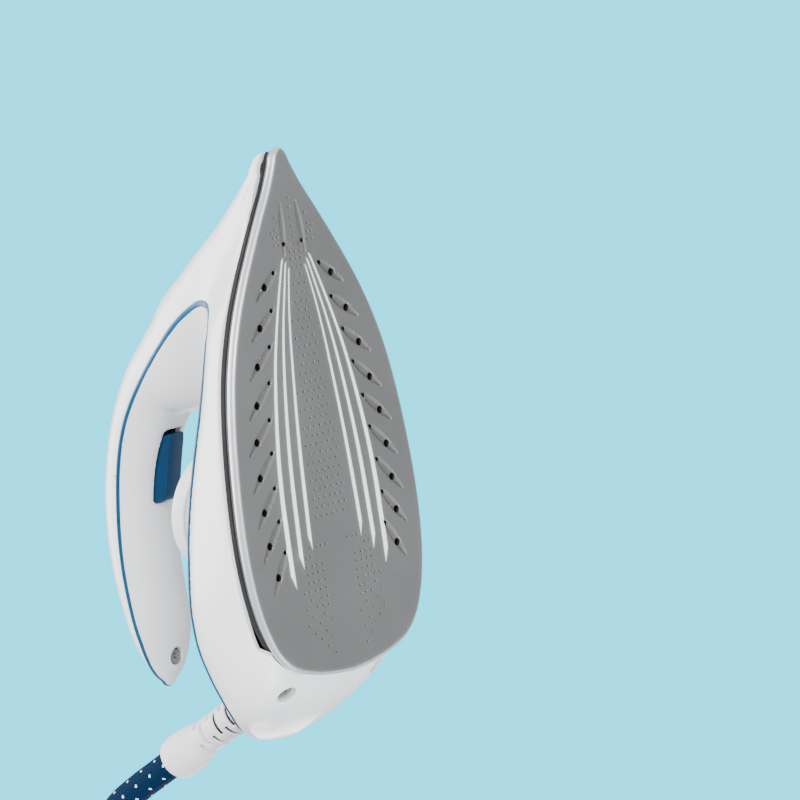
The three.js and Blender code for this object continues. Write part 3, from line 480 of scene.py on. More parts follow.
def braid_material():
    """Braided sleeve from the tube's own UVs: u runs along the hose in metres, v once round it."""
    mt = bpy.data.materials.new("hose_braid")
    mt.use_nodes = True
    nt = mt.node_tree
    nt.nodes.clear()
    L = nt.links.new

    def math_(op, a, b=None):
        n = nt.nodes.new("ShaderNodeMath")
        n.operation = op
        for i, v in enumerate((a, b)):
            if v is None:
                continue
            if isinstance(v, (int, float)):
                n.inputs[i].default_value = v
            else:
                L(v, n.inputs[i])
        return n.outputs[0]

    out = nt.nodes.new("ShaderNodeOutputMaterial")
    b = nt.nodes.new("ShaderNodeBsdfPrincipled")
    L(b.outputs["BSDF"], out.inputs["Surface"])
    b.inputs["Metallic"].default_value = 0.0
    _sock(b, "Sheen Weight").default_value = 0.0
    _sock(b, "Specular IOR Level").default_value = 0.05
    uv = nt.nodes.new("ShaderNodeUVMap")
    uv.uv_map = "UVMap"
    sep = nt.nodes.new("ShaderNodeSeparateXYZ")
    L(uv.outputs["UV"], sep.inputs["Vector"])
    u, v = math_("MULTIPLY", sep.outputs["X"], 480.0), math_("MULTIPLY", sep.outputs["Y"], 20.0)
    p, q = math_("ADD", u, v), math_("SUBTRACT", u, v)
    fp, fq = math_("FLOOR", p), math_("FLOOR", q)
    over = math_("MODULO", math_("ABSOLUTE", math_("ADD", fp, fq)), 2.0)
    # thread profile across each carrier
    hp = math_("SINE", math_("MULTIPLY", math_("FRACT", p), math.pi))
    hq = math_("SINE", math_("MULTIPLY", math_("FRACT", q), math.pi))
    mixh = nt.nodes.new("ShaderNodeMix")
    mixh.data_type = "FLOAT"
    L(over, mixh.inputs["Factor"])
    L(hp, mixh.inputs["A"])
    L(hq, mixh.inputs["B"])
    h = mixh.outputs["Result"]
    # white tracer threads: one carrier in five one way, shown only where it lies on top
    tr = math_("LESS_THAN", math_("MODULO", math_("ABSOLUTE", fp), 5.0), 0.5)
    tr2 = math_("LESS_THAN", math_("MODULO", math_("ABSOLUTE", fq), 5.0), 0.5)
    fleck = math_("MULTIPLY", math_("MULTIPLY", tr, tr2), math_("GREATER_THAN", h, 0.35))
    noise = nt.nodes.new("ShaderNodeTexNoise")
    noise.inputs["Scale"].default_value = 900
    noise.inputs["Detail"].default_value = 3
    tc = nt.nodes.new("ShaderNodeTexCoord")
    L(tc.outputs["Object"], noise.inputs["Vector"])
    ramp = nt.nodes.new("ShaderNodeValToRGB")
    ramp.color_ramp.elements[0].color = (0.0, 0.005, 0.017, 1)
    ramp.color_ramp.elements[1].color = (0.0, 0.019, 0.058, 1)
    # painted shade: the colour darkens with the thread profile, so the hollows between threads are darker; the noise
    # adds random tone
    L(math_("MULTIPLY", math_("ADD", h, noise.outputs["Fac"]), 0.55), ramp.inputs["Fac"])
    mx = nt.nodes.new("ShaderNodeMix")
    mx.data_type = "RGBA"
    L(fleck, mx.inputs["Factor"])
    L(ramp.outputs["Color"], mx.inputs["A"])
    mx.inputs["B"].default_value = (0.72, 0.76, 0.82, 1)
    L(mx.outputs["Result"], b.inputs["Base Color"])
    rr = nt.nodes.new("ShaderNodeMapRange")
    rr.inputs["To Min"].default_value, rr.inputs["To Max"].default_value = 0.6, 0.85
    L(noise.outputs["Fac"], rr.inputs["Value"])
    L(rr.outputs["Result"], b.inputs["Roughness"])
    bp = nt.nodes.new("ShaderNodeBump")
    bp.inputs["Strength"].default_value = 0.8
    bp.inputs["Distance"].default_value = 0.0005
    L(h, bp.inputs["Height"])
    L(bp.outputs["Normal"], b.inputs["Normal"])
    return mt


BRAID = braid_material()

# ------------------------------------------------------------------ hose: same route as the CAD, one length
RD = unit([-0.455, 0, 0.8905])
RELIEF_AT = np.array([-17.6, 0, 67.0])
HOSE_R = 6.5
along = lambda t: RELIEF_AT + RD * t
COIL_S, COIL_Y, COIL_R, COIL_Z0, PITCH = -150.0, -8.6, 67.0, 1.4, 13.4
ARC = [[-54, 0, 138.2], [-63.5, 0.7, 154.5], [-75.8, 3.9, 168.5], [-90.7, 10.2, 178], [-106.8, 19.1, 181.9], [-122.4, 29.5, 179.9], [-135.6, 40.4, 172.2], [-145.4, 50.7, 159.8], [-151.2, 59.4, 144.1], [-153.3, 66, 126.6], [-151.8, 70, 108.2], [-146.9, 70.9, 90], [-138.7, 68, 73.4], [-127.5, 60.9, 60], [-114.6, 50.4, 51.2], [-101.3, 37.4, 48.2]]
free = [along(44.4), along(56), along(68), *map(np.array, ARC)]
lay = []
PHI0 = 1213.6                    # turn angle counted back from where the tail leaves the coil
for phi in np.arange(PHI0 - 12, -0.1, -12.0):
    turn, part = divmod(phi, 360.0)
    t = min(max((part - 270.0) / 90.0, 0.0), 1.0)
    a = math.radians(-90.0 + phi)
    lay.append(np.array([COIL_S + COIL_R * math.cos(a), COIL_Y + COIL_R * math.sin(a), COIL_Z0 + 6.5 + PITCH * (turn + 3 * t * t - 2 * t * t * t)]))
tail = []
for d in (0.0, 12.0, 24.0, 36.0, 49.7):
    t = d / 50.0
    tail.append(np.array([COIL_S - d, COIL_Y - COIL_R, COIL_Z0 + 6.5 + 4.6 * (3 * t * t - 2 * t * t * t)]))
route = free + lay + tail
route = [p for i, p in enumerate(route) if i == 0 or np.linalg.norm(p - route[i - 1]) > 4.0]
STEP = 4.0 if QUICK else 2.0
rough_len = sum(np.linalg.norm(b - a) for a, b in zip(route[:-1], route[1:]))
line = centripetal(route, int(rough_len / STEP))
HOSE_LEN = float(np.linalg.norm(np.diff(line, axis=0), axis=1).sum())


def tube(line, r, sides):
    """Tube along a smooth line with frames carried along it, and UVs (metres along, turns round)."""
    T = unit(np.gradient(line, axis=0))
    n = unit(np.cross(T[0], [0, 1, 0.0]))
    V, UV = [], []
    L = np.r_[0, np.cumsum(np.linalg.norm(np.diff(line, axis=0), axis=1))]
    for i, p in enumerate(line):
        if i:
            n = unit(n - T[i] * (n @ T[i]))
        b = np.cross(T[i], n)
        for j in range(sides + 1):
            a = 2 * math.pi * j / sides
            V.append(p + r * (n * math.cos(a) + b * math.sin(a)))
            UV.append((L[i] * 0.001, j / sides))
    F = []
    w = sides + 1
    for i in range(len(line) - 1):
        for j in range(sides):
            F.append([i * w + j, i * w + j + 1, (i + 1) * w + j + 1, (i + 1) * w + j])
    # end caps
    for i0, flip in ((0, True), ((len(line) - 1) * w, False)):
        c = len(V)
        V.append(line[0] if flip else line[-1])
        UV.append((UV[i0][0], 0.5))
        for j in range(sides):
            F.append([c, i0 + j + 1, i0 + j] if flip else [c, i0 + j, i0 + j + 1])
    return np.array(V), F, np.array(UV)


hv, hf, huv = tube(line, HOSE_R, 20 if QUICK else 28)
hose = make("hose_sleeve", hv, hf, BRAID, uv=huv)
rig.ride(hose, "handpiece")
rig.replaces(hose, "hose", "hose_coil")
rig.slot(hose, "hose_blue")
hose_path = [((p[0] - XO) * 0.001, p[1] * 0.001, p[2] * 0.001) for p in line]

# ------------------------------------------------------------------ outer volume (mm): skirt and deck blended with the swept handle
SOLE_OUT = [(228, 0), (226.2, 2.6), (220, 5.6), (212, 9.9), (199, 18.3), (185.6, 26.7), (174, 33.6), (161, 40.4), (149, 45.4), (135.6, 49.8), (122, 52.8), (108, 55.0), (93, 56.6), (78, 57.6), (64, 57.8), (50, 57.0), (38, 55.2), (25.5, 51.6), (15.5, 46.4), (8.2, 38.6), (3.8, 27), (1.2, 13.5), (0, 0)]
RIDGE = [(219.8, 11, 4.8, 4.6), (212, 21.4, 9.5, 8.2), (203, 32.9, 14.8, 12.2), (196, 41.8, 19, 15.4), (187, 53, 23.5, 18.6), (178, 63.9, 27, 20.6), (169, 74.3, 28.5, 21.6), (159.5, 84, 26.6, 21.4), (150, 92.6, 22.2, 20.4), (140.5, 100.1, 17.8, 19.4), (130.5, 106.8, 15.8, 18.6), (120.6, 112.4, 14.9, 18.1), (110.4, 117, 14.3, 17.8), (100.6, 120.6, 14, 17.6), (90.3, 123.6, 13.9, 17.5), (79, 126, 13.8, 17.5), (67.8, 127.3, 13.7, 17.5), (56.4, 127.7, 13.6, 17.5), (45, 127, 13.1, 17.5), (33.6, 125.3, 12.3, 17.4), (22.2, 122.5, 11, 17.2), (14, 120.4, 9.6, 16.4), (6, 117.9, 7.5, 13.6), (-0.5, 115.6, 5.2, 9.9), (-3.7, 114.5, 3.8, 7.1), (-6.2, 113.4, 2.3, 3.5)]
tab = lambda rows: hermite([r[0] for r in rows], [r[1] for r in rows])
XREAR = tab([(0, 1.5), (5, 0.3), (8, -3.2), (12, -8.5), (18, -15), (25, -20.8), (35, -27), (45, -30.6), (55, -32.2), (62, -31.6), (70, -28.5), (80, -25), (140, -24)])
XTIP = tab([(0, 227.5), (6, 223.5), (12, 217.5), (20, 208), (30, 197), (50, 176), (140, 90)])
ZL = tab([(-34, 66), (-28, 62), (-20, 57.5), (-10, 55), (3, 53.6), (17, 52), (30, 50.4), (45, 48), (62, 44.8), (79.5, 40.8), (97, 36.4), (110, 33), (122, 30), (138, 27.5), (151, 27), (160, 28), (170, 27.5), (180, 25), (192, 20.5), (205, 15.5), (216, 10.5), (230, 5)])
ZC = tab([(-34, 69), (-20, 69), (0, 66.5), (20, 64), (45, 60.5), (72, 56), (97, 49.5), (110, 45), (122, 40), (138, 34), (152, 31.5), (165, 31.5), (180, 29), (192, 25), (205, 20), (216, 15), (230, 9)])
TAP = tab([(-34, 0.55), (-22, 0.475), (-10, 0.38), (3.4, 0.285), (18, 0.205), (31, 0.18), (60, 0.18), (228, 0.18)])
TEX = tab([(-34, 2.0), (-10, 1.9), (10, 1.6), (31, 1.3), (60, 1.25), (228, 1.25)])


def half_outline(n):
    P = np.array(SOLE_OUT, float)
    t = np.r_[0, np.cumsum(np.hypot(*np.diff(P, axis=0).T))]
    u = np.linspace(0, t[-1], n)
    return np.c_[hermite(t, P[:, 0])(u), np.maximum(hermite(t, P[:, 1])(u), 0)]


HALF = half_outline(110)
_gx, _gy = np.arange(-60, 300.01, 0.5), np.arange(0, 110.01, 0.5)


def _outline_table():
    X, Y = np.meshgrid(_gx, _gy, indexing="ij")
    best = np.full(X.shape, 1e18)
    for a, b in zip(HALF[:-1], HALF[1:]):
        e = b - a
        L = e @ e
        if L < 1e-12:
            continue
        t = np.clip(((X - a[0]) * e[0] + (Y - a[1]) * e[1]) / L, 0, 1)
        np.minimum(best, (X - a[0] - e[0] * t) ** 2 + (Y - a[1] - e[1] * t) ** 2, out=best)
    w = np.interp(X, HALF[::-1, 0], HALF[::-1, 1], left=-1, right=-1)
    return np.where((X > 0) & (X < 228) & (Y < w), -1, 1) * np.sqrt(best)


_G = _outline_table()


def outline_distance(px, py):
    py = np.abs(py)
    fx, fy = np.clip((px + 60) / 0.5, 0, len(_gx) - 1.001), np.clip(py / 0.5, 0, len(_gy) - 1.001)
    i, j = fx.astype(int), fy.astype(int)
    a, b = fx - i, fy - j
    return _G[i, j] * (1 - a) * (1 - b) + _G[i + 1, j] * a * (1 - b) + _G[i, j + 1] * (1 - a) * b + _G[i + 1, j + 1] * a * b


def smin(a, b, k):
    h = np.maximum(k - np.abs(a - b), 0) / k
    return np.minimum(a, b) - h * h * k * 0.25


def smax(a, b, k):
    return -smin(-a, -b, k)


def body_field(s, y, z):
    xr, xt = XREAR(z), XTIP(z)
    s2 = np.where(s < 60, 60 - (60 - s) * 60 / (60 - xr), np.where(s > 150, 150 + (s - 150) * 78 / (xt - 150), s))
    zl = ZL(s)
    t = np.clip((z - 9.6) / (zl - 9.6), -0.3, 1.6)
    k = 1 - TAP(s) * np.sign(t) * np.abs(t) ** TEX(s)
    side = outline_distance(s2, y / k) * 0.93
    wl = np.maximum(np.interp(np.clip(s2, 0, 228), HALF[::-1, 0], HALF[::-1, 1]) * (1 - TAP(s)), 6)
    r = np.clip(np.abs(y) / wl, 0, 1.3)
    return smax(side, (z - zl - (ZC(s) - zl) * (1 - r**2)) * 0.93, 7.0)


_R = np.array([r[:2] for r in RIDGE], float)
_T = unit(np.gradient(_R, axis=0))
_N = np.c_[-_T[:, 1], _T[:, 0]]
_N *= np.sign(_N @ np.array([0.5, 0.9]))[:, None]
_C = _R - _N * np.array([r[2] for r in RIDGE])[:, None]
_t = np.r_[0, np.cumsum(np.hypot(*np.diff(_C, axis=0).T))]
_td = np.linspace(0, _t[-1], 200)
CL = np.c_[hermite(_t, _C[:, 0])(_td), hermite(_t, _C[:, 1])(_td)]
HH, BB = hermite(_t, [r[2] for r in RIDGE])(_td), hermite(_t, [r[3] for r in RIDGE])(_td)


def sweep_map(s, z):
    best, h, b = np.full(s.shape, 1e18), np.zeros(s.shape), np.zeros(s.shape)
    for i in range(len(CL) - 1):
        a, e = CL[i], CL[i + 1] - CL[i]
        wx, wz = s - a[0], z - a[1]
        t = np.clip((wx * e[0] + wz * e[1]) / (e @ e), 0, 1)
        d = (wx - e[0] * t) ** 2 + (wz - e[1] * t) ** 2
        mk = d < best
        best = np.where(mk, d, best)
        h = np.where(mk, HH[i] + (HH[i + 1] - HH[i]) * t, h)
        b = np.where(mk, BB[i] + (BB[i + 1] - BB[i]) * t, b)
    return np.sqrt(best), h, b


# the sweep's distance maps on a fine side-view grid, read back by bilinear interpolation
MX, MZ = np.arange(-62, 250.01, 0.5), np.arange(-10, 140.01, 0.5)
_SM = np.stack(sweep_map(*np.meshgrid(MX, MZ, indexing="ij")), -1)


def bil(M, s, z):
    fx, fz = np.clip((s - MX[0]) / 0.5, 0, len(MX) - 1.001), np.clip((z - MZ[0]) / 0.5, 0, len(MZ) - 1.001)
    i, j = fx.astype(int), fz.astype(int)
    a, b = fx - i, fz - j
    if M.ndim == 3:
        a, b = a[..., None], b[..., None]
    return M[i, j] * (1 - a) * (1 - b) + M[i + 1, j] * a * (1 - b) + M[i, j + 1] * (1 - a) * b + M[i + 1, j + 1] * a * b


def W(s, y, z):
    z = np.maximum(z, np.interp(s, [188, 204], [0.0, 11.6]))      # the wall runs straight down under the nose
    M = bil(_SM, s, z)
    d, h, b = M[..., 0], M[..., 1], M[..., 2]
    k0 = np.sqrt((d / h) ** 2 + (y / b) ** 2) + 1e-9
    k1 = np.sqrt((d / h**2) ** 2 + (y / b**2) ** 2) + 1e-9
    return smin(body_field(s, y, z), k0 * (k0 - 1) / k1, 20.0)


def surface_nets(F, xs, ys, zs):
    nx, ny, nz = F.shape
    ins = F < 0
    tot = sum(ins[i : nx - 1 + i, j : ny - 1 + j, k : nz - 1 + k].astype(np.int8) for i in (0, 1) for j in (0, 1) for k in (0, 1))
    act = (tot > 0) & (tot < 8)
    idx = -np.ones(act.shape, int)
    I = np.argwhere(act)
    idx[act] = np.arange(len(I))
    acc, cnt = np.zeros((len(I), 3)), np.zeros(len(I))
    for a in [(i, j, k) for i in (0, 1) for j in (0, 1) for k in (0, 1)]:
        for ax in range(3):
            if a[ax] == 1:
                continue
            b = list(a)
            b[ax] = 1
            fa = F[I[:, 0] + a[0], I[:, 1] + a[1], I[:, 2] + a[2]]
            fb = F[I[:, 0] + b[0], I[:, 1] + b[1], I[:, 2] + b[2]]
            mk = (fa < 0) != (fb < 0)
            t = np.where(mk, fa / np.where(mk, fa - fb, 1), 0)
            p = np.array(a, float)[None, :].repeat(len(I), 0)
            p[:, ax] += t
            acc[mk] += p[mk]
            cnt[mk] += 1
    P = I + acc / cnt[:, None]
    V = np.c_[np.interp(P[:, 0], np.arange(nx), xs), np.interp(P[:, 1], np.arange(ny), ys), np.interp(P[:, 2], np.arange(nz), zs)]
    quads = []
    for ax in range(3):
        u, v = [(1, 2), (2, 0), (0, 1)][ax]
        A, B = [slice(None)] * 3, [slice(None)] * 3
        A[ax], B[ax] = slice(0, -1), slice(1, None)
        ia, ib = ins[tuple(A)], ins[tuple(B)]
        E = np.argwhere(ia != ib)
        E = E[(E[:, u] > 0) & (E[:, v] > 0) & (E[:, u] < F.shape[u] - 1) & (E[:, v] < F.shape[v] - 1)]
        s = ia[tuple(E.T)]

        def cell(du, dv):
            Cc = E.copy()
            Cc[:, u] -= du
            Cc[:, v] -= dv
            return idx[tuple(Cc.T)]

        q = np.c_[cell(0, 0), cell(1, 0), cell(1, 1), cell(0, 1)]
        quads.append(np.where(s[:, None], q, q[:, ::-1]))
    return V, np.concatenate(quads)


def grad(f, V, e=0.35):
    g = np.zeros_like(V)
    for i in range(3):
        d = np.zeros(3)
        d[i] = e
        a, b = V + d, V - d
        g[:, i] = (f(a[:, 0], a[:, 1], a[:, 2]) - f(b[:, 0], b[:, 1], b[:, 2])) / (2 * e)
    return g


def project(V, n=3, f=W):
    V = V.copy()
    for _ in range(n):
        v, g = f(V[:, 0], V[:, 1], V[:, 2]), grad(f, V)
        st = -(v / np.maximum((g * g).sum(1), 0.05))[:, None] * g
        V += st * np.minimum(1, 1.0 / np.maximum(np.linalg.norm(st, axis=1)[:, None], 1e-9))
    return V


CELL = 2.2 if QUICK else 1.4
xs, ys, zs = np.arange(-40, 234, CELL), np.arange(-64.4, 66, CELL), np.arange(2, 134, CELL)
ys = ys - (ys[0] + ys[-1]) / 2
FV = W(*np.meshgrid(xs, ys, zs, indexing="ij"))
SV, SQ = surface_nets(FV, xs, ys, zs)
SV = project(SV, 3)
ST = np.vstack([SQ[:, [0, 1, 2]], SQ[:, [0, 2, 3]]])
SV[:, 2] = np.where(SV[:, 2] < 3.4, 3.4, SV[:, 2])

# blue loop in side view
LOOP = [[-22, 112.9], [-3, 111.4], [5, 110.8], [14.5, 110], [26, 111.2], [39.6, 112.4], [53, 112.6], [66.7, 111.6], [80, 109.6], [91.3, 107.1], [102.4, 103.5], [113.5, 98.2], [123, 91.6], [132, 83.6], [140.9, 74.9], [148.1, 67.1], [154.3, 59.9], [159.2, 53.4], [162.8, 46.9], [164.9, 41.4], [164.6, 36], [162.5, 31.6], [158, 28.6], [151, 26.6], [138.7, 25.6], [122, 27.6], [109, 31.2], [96, 35.4], [79, 40.4], [61.5, 44.8], [45, 48], [30, 50.6], [17, 52.4], [3, 54], [-10, 56], [-20, 58.6], [-28, 63.4], [-34, 68.6], [-50, 80]]
loop = centripetal(LOOP, 520)


def loop_table():
    S, Z = np.meshgrid(MX, MZ, indexing="ij")
    best = np.full(S.shape, 1e18)
    for a, b in zip(loop[:-1], loop[1:]):
        e = b - a
        t = np.clip(((S - a[0]) * e[0] + (Z - a[1]) * e[1]) / (e @ e), 0, 1)
        np.minimum(best, (S - a[0] - e[0] * t) ** 2 + (Z - a[1] - e[1] * t) ** 2, out=best)
    poly = np.vstack([loop, [[-120, 80], [-120, 110]]])
    inside = np.zeros(S.shape, bool)
    for a, b in zip(poly, np.roll(poly, -1, 0)):
        if a[1] == b[1]:
            continue
        hit = ((a[1] > Z) != (b[1] > Z)) & (S < (b[0] - a[0]) * (Z - a[1]) / (b[1] - a[1]) + a[0])
        inside ^= hit
    return np.where(inside, -1, 1) * np.sqrt(best)


_LM = loop_table()
loop_d = lambda V: bil(_LM, V[:, 0], V[:, 2])            # > 0 outside the loop: shell, < 0 inside: liner


def snap_clip(V, T, g, h, onto=True):
    """Keeps the part of a triangle mesh where g(V) >= 0, with vertices near the border moved on to it first."""
    V = V.copy()
    for _ in range(2):
        v = g(V)
        near = np.abs(v) < 0.36 * h
        if near.any() and onto:
            P = V[near]
            gg = grad(lambda a, b, c: g(np.c_[a, b, c]), P, 0.2)
            n = unit(grad(W, P))
            gg -= n * (gg * n).sum(1)[:, None]
            st = -(v[near] / np.maximum((gg * gg).sum(1), 0.2))[:, None] * gg
            ln = np.linalg.norm(st, axis=1)[:, None]
            V[near] = P + st * np.minimum(1, 0.5 * h / np.maximum(ln, 1e-9))
    v = g(V)
    v[np.abs(v) < 0.02] = 0.0
    ins = v >= 0
    k = ins[T].sum(1)
    full = T[k == 3]
    part = T[(k == 1) | (k == 2)]
    newV, edge, newT = [], {}, []
    n0 = len(V)

    def cut(a, b):
        key = (a, b) if a < b else (b, a)
        if key not in edge:
            t = v[a] / (v[a] - v[b])
            edge[key] = n0 + len(newV)
            newV.append(V[a] + (V[b] - V[a]) * t)
        return edge[key]

    for tri in part:
        s = [ins[i] for i in tri]
        poly = []
        for i in range(3):
            a, b = tri[i], tri[(i + 1) % 3]
            if s[i]:
                poly.append(a)
            if s[i] != s[(i + 1) % 3]:
                if not (v[a] == 0 or v[b] == 0):
                    poly.append(cut(a, b))
        for i in range(1, len(poly) - 1):
            if len({poly[0], poly[i], poly[i + 1]}) == 3:
                newT.append([poly[0], poly[i], poly[i + 1]])
    V2 = np.vstack([V, newV]) if newV else V
    T2 = np.vstack([full, np.array(newT, int)]) if newT else full
    used = np.unique(T2)
    re = -np.ones(len(V2), int)
    re[used] = np.arange(len(used))
    return V2[used], re[T2]


def largest(V, T):
    """The largest connected part of a triangle mesh."""
    lab = np.arange(len(V))
    for _ in range(400):
        mn = lab[T].min(1)
        new = lab.copy()
        for c in range(3):
            np.minimum.at(new, T[:, c], mn)
        new = new[new]
        if (new == lab).all():
            break
        lab = new
    cnt = np.bincount(lab[T[:, 0]], minlength=len(V))
    T = T[lab[T[:, 0]] == cnt.argmax()]
    used = np.unique(T)
    re = -np.ones(len(V), int)
    re[used] = np.arange(len(used))
    return V[used], re[T]


def shellify(V, T, thick, roll=0.22, depth=None):
    """Closed wall from an outer skin: the border is rolled in a little and joined to the inner face."""
    N = unit(grad(W, V))
    E = np.sort(np.vstack([T[:, [0, 1]], T[:, [1, 2]], T[:, [2, 0]]]), axis=1)
    key = E[:, 0].astype(np.int64) * len(V) + E[:, 1]
    uq, inv, cnt = np.unique(key, return_inverse=True, return_counts=True)
    D = np.vstack([T[:, [0, 1]], T[:, [1, 2]], T[:, [2, 0]]])
    B = D[cnt[inv] == 1]
    bv = np.unique(B)
    O = V.copy()
    O[bv] -= N[bv] * roll
    I = V - N * thick
    nb = -np.ones(len(V), int)
    nb[bv] = np.arange(len(bv))
    n = len(V)
    mid = V[bv] - N[bv] * (roll + 0.5)
    VV = np.vstack([O, I, mid])
    F = [list(t) for t in T] + [[t[2] + n, t[1] + n, t[0] + n] for t in T]
    for a, b in B:
        ma, mb = 2 * n + nb[a], 2 * n + nb[b]
        F.append([b, a, ma, mb])
        F.append([mb, ma, a + n, b + n])
    return VV, F


EDGE = 0.82


def skirt_edge(s):
    return np.interp(s, [14.5, 17.5, 185, 228], [5.6, 9.6, 9.6, 8.6])


def axis_gap(V, at, d, r, lo=-1e9, hi=1e9):
    """Distance outside a round hole about an axis, ignored where the axis position isn't in lo..hi."""
    q = V - np.asarray(at)
    t = q @ unit(d)
    rad = np.linalg.norm(q - t[:, None] * unit(d), axis=1) - r
    return np.where((t > lo) & (t < hi), rad, 50.0)


HEEL = [dict(at=np.array([-5.6, 29.8 * k, 14.8]), dir=unit([0.64, -0.2 * k, 0.74])) for k in (-1, 1)]
TAIL = dict(at=np.array([6.0, 0, 104.7]), dir=unit([-0.1, 0, 1]))


def shell_region(V):
    g = np.minimum(loop_d(V) - EDGE, V[:, 2] - skirt_edge(V[:, 0]))
    g = np.minimum(g, axis_gap(V, RELIEF_AT, RD, 8.9, -14, 30))
    for h in HEEL:
        g = np.minimum(g, axis_gap(V, h["at"], h["dir"], 4.7, -12, 14))
    return g


def liner_region(V):
    g = -loop_d(V) - EDGE
    g = np.minimum(g, axis_gap(V, RELIEF_AT, RD, 8.9, -14, 30))
    g = np.minimum(g, axis_gap(V, TAIL["at"], TAIL["dir"], 4.2, -8, 6))
    slot = np.maximum(np.maximum(75.3 - V[:, 0], V[:, 0] - 108.3), np.abs(V[:, 1]) - 5.8)
    return np.where((V[:, 2] > 76) & (V[:, 2] < 112), np.minimum(g, slot), g)


def skin(region):
    V, T = snap_clip(SV, ST, region, CELL)
    return largest(V, T)


v, t = skin(shell_region)
# the grid rounds off the thin tip, so it is drawn out to its full length
v = np.array(v, float)
v[:, 0] += 1.8 * np.clip((v[:, 0] - 209) / (v[:, 0].max() - 209), 0, 1) ** 2
shell = make("outer_shell_skin", *shellify(v, t, 2.6), WHITE, sharp=50)
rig.ride(shell, "handpiece")
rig.replaces(shell, "outer_shell")
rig.slot(shell, "shell_white")

v, t = skin(liner_region)
liner = make("inner_liner_skin", *shellify(v, t, 2.4), LINER, sharp=50)
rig.ride(liner, "handpiece")
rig.replaces(liner, "inner_liner")
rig.slot(liner, "liner_grey")

# ------------------------------------------------------------------ blue trim along the loop
def surf_y(s, z):
    """Half width of the outer surface at side-view points."""
    lo, hi = np.zeros(len(s)), np.full(len(s), 66.0)
    for _ in range(34):
        mid = (lo + hi) / 2
        ins = W(s, mid, z) < 0
        lo, hi = np.where(ins, mid, lo), np.where(ins, hi, mid)
    return lo


side = loop[(loop[:, 0] > -26.5) & ~((loop[:, 1] > 100) & (loop[:, 0] < 14.5))][::-1]
ys_ = surf_y(side[:, 0], side[:, 1])
right = np.c_[side[:, 0], ys_, side[:, 1]]
arc = []
for i in range(1, 60):
    th = math.pi / 2 + math.pi * i / 60
    d = np.array([math.cos(th), math.sin(th)])
    lo, hi = 0.0, 60.0
    for _ in range(34):
        mid = (lo + hi) / 2
        ins = W(np.array([14.5 + d[0] * mid]), np.array([d[1] * mid]), np.array([110.0 - 0.08 * d[0] * mid]))[0] < 0
        lo, hi = (mid, hi) if ins else (lo, mid)
    arc.append([14.5 + d[0] * lo, d[1] * lo, 110.0 - 0.08 * d[0] * lo])
left = right[::-1] * [1, -1, 1]
path = np.vstack([right, arc, left])
path = centripetal(path[::2], 560 if not QUICK else 300)
NRM = unit(grad(W, path))
TAN = unit(np.gradient(path, axis=0))
for _ in range(3):
    NRM = unit(np.vstack([NRM[:1], (NRM[:-2] + 2 * NRM[1:-1] + NRM[2:]) / 4, NRM[-1:]]))
BIN = unit(np.cross(NRM, TAN))
halfw = np.interp(path[:, 0], [0, 30, 100, 135, 158, 166], [0.86, 0.96, 1.05, 1.08, 1.35, 1.5])
halfw = np.maximum(halfw, np.interp(path[:, 2], [60, 66], [1.5, 0.0]) * (path[:, 0] < 150))
prof = [(-1.0, -2.2, 0), (-1.0, -0.35, 0), (-0.92, -0.02, 1), (-0.66, 0.2, 1), (0.0, 0.3, 1), (0.66, 0.2, 1), (0.92, -0.02, 1), (1.0, -0.35, 0), (1.0, -2.2, 0)]
# it stands a little proud of the skirt line, as moulded trim does
lift = 0.45 * np.interp(path[:, 2], [60, 66], [1, 0]) * np.clip((158 - path[:, 0]) / 10, 0, 1)
V, F = [], []
for p, n, b, w, up in zip(path, NRM, BIN, halfw, lift):
    for x, z, _ in prof:
        V.append(p + b * x * w + n * (z + (up if z > -1 else 0)))
k = len(prof)
for i in range(len(path) - 1):
    for j in range(k):
        F.append([i * k + j, i * k + (j + 1) % k, (i + 1) * k + (j + 1) % k, (i + 1) * k + j])
F.append(list(range(k))[::-1])
F.append([(len(path) - 1) * k + j for j in range(k)])
trim = recalc(make("loop_trim_strip", V, F, TRIM_PAINTED_LIGHT, sharp=60))
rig.ride(trim, "handpiece")
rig.replaces(trim, "loop_trim")
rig.slot(trim, "trim_blue")


# ------------------------------------------------------------------ soleplate with its holes, grooves, dimples and printed stripes
def ring_pts(cx, cy, r, n, a0=0.0):
    a = a0 + np.arange(n) * 2 * math.pi / n
    return np.c_[cx + r * np.cos(a), cy + r * np.sin(a)]


def offset_outline(d, n=150):
    """Sole outline moved inwards by d mm, evenly spaced."""
    P = half_outline(400)
    P = np.vstack([P, (P[1:-1] * [1, -1])[::-1]])
    T = np.roll(P, -1, 0) - np.roll(P, 1, 0)
    T = unit(T)
    for _ in range(2):
        T = unit(np.roll(T, 1, 0) + 2 * T + np.roll(T, -1, 0))
    Nn = np.c_[-T[:, 1], T[:, 0]]
    q = P + Nn * d
    if np.mean(outline_distance(q[:, 0], q[:, 1])) > 0:
        q = P - Nn * d
    ok = outline_distance(q[:, 0], q[:, 1]) < -d + 0.06 * max(d, 1)
    q = q[ok]
    L = np.r_[0, np.cumsum(np.linalg.norm(np.diff(np.vstack([q, q[:1]]), axis=0), axis=1))]
    u = np.linspace(0, L[-1], n, endpoint=False)
    qq = np.vstack([q, q[:1]])
    return np.c_[np.interp(u, L, qq[:, 0]), np.interp(u, L, qq[:, 1])]


def leaf(a, b, w, n=22, grow=0.0):
    """Pointed leaf outline from a to b, widest a little past the middle."""
    a, b = np.array(a, float), np.array(b, float)
    d = unit(b - a)
    nn = np.array([-d[1], d[0]])
    f = (1 - np.cos(np.linspace(0, math.pi, n))) / 2
    f = f[1:-1]
    h = np.maximum(w * np.sin(math.pi * f ** 0.9) ** 0.75 - grow, 0.12)
    L = np.linalg.norm(b - a)
    e = grow * 1.6
    t = e + f * (L - 2 * e)
    P = a + d * t[:, None]
    return np.vstack([[a + d * e * 0.9], P + nn * h[:, None], [b - d * e * 0.9], (P - nn * h[:, None])[::-1]])


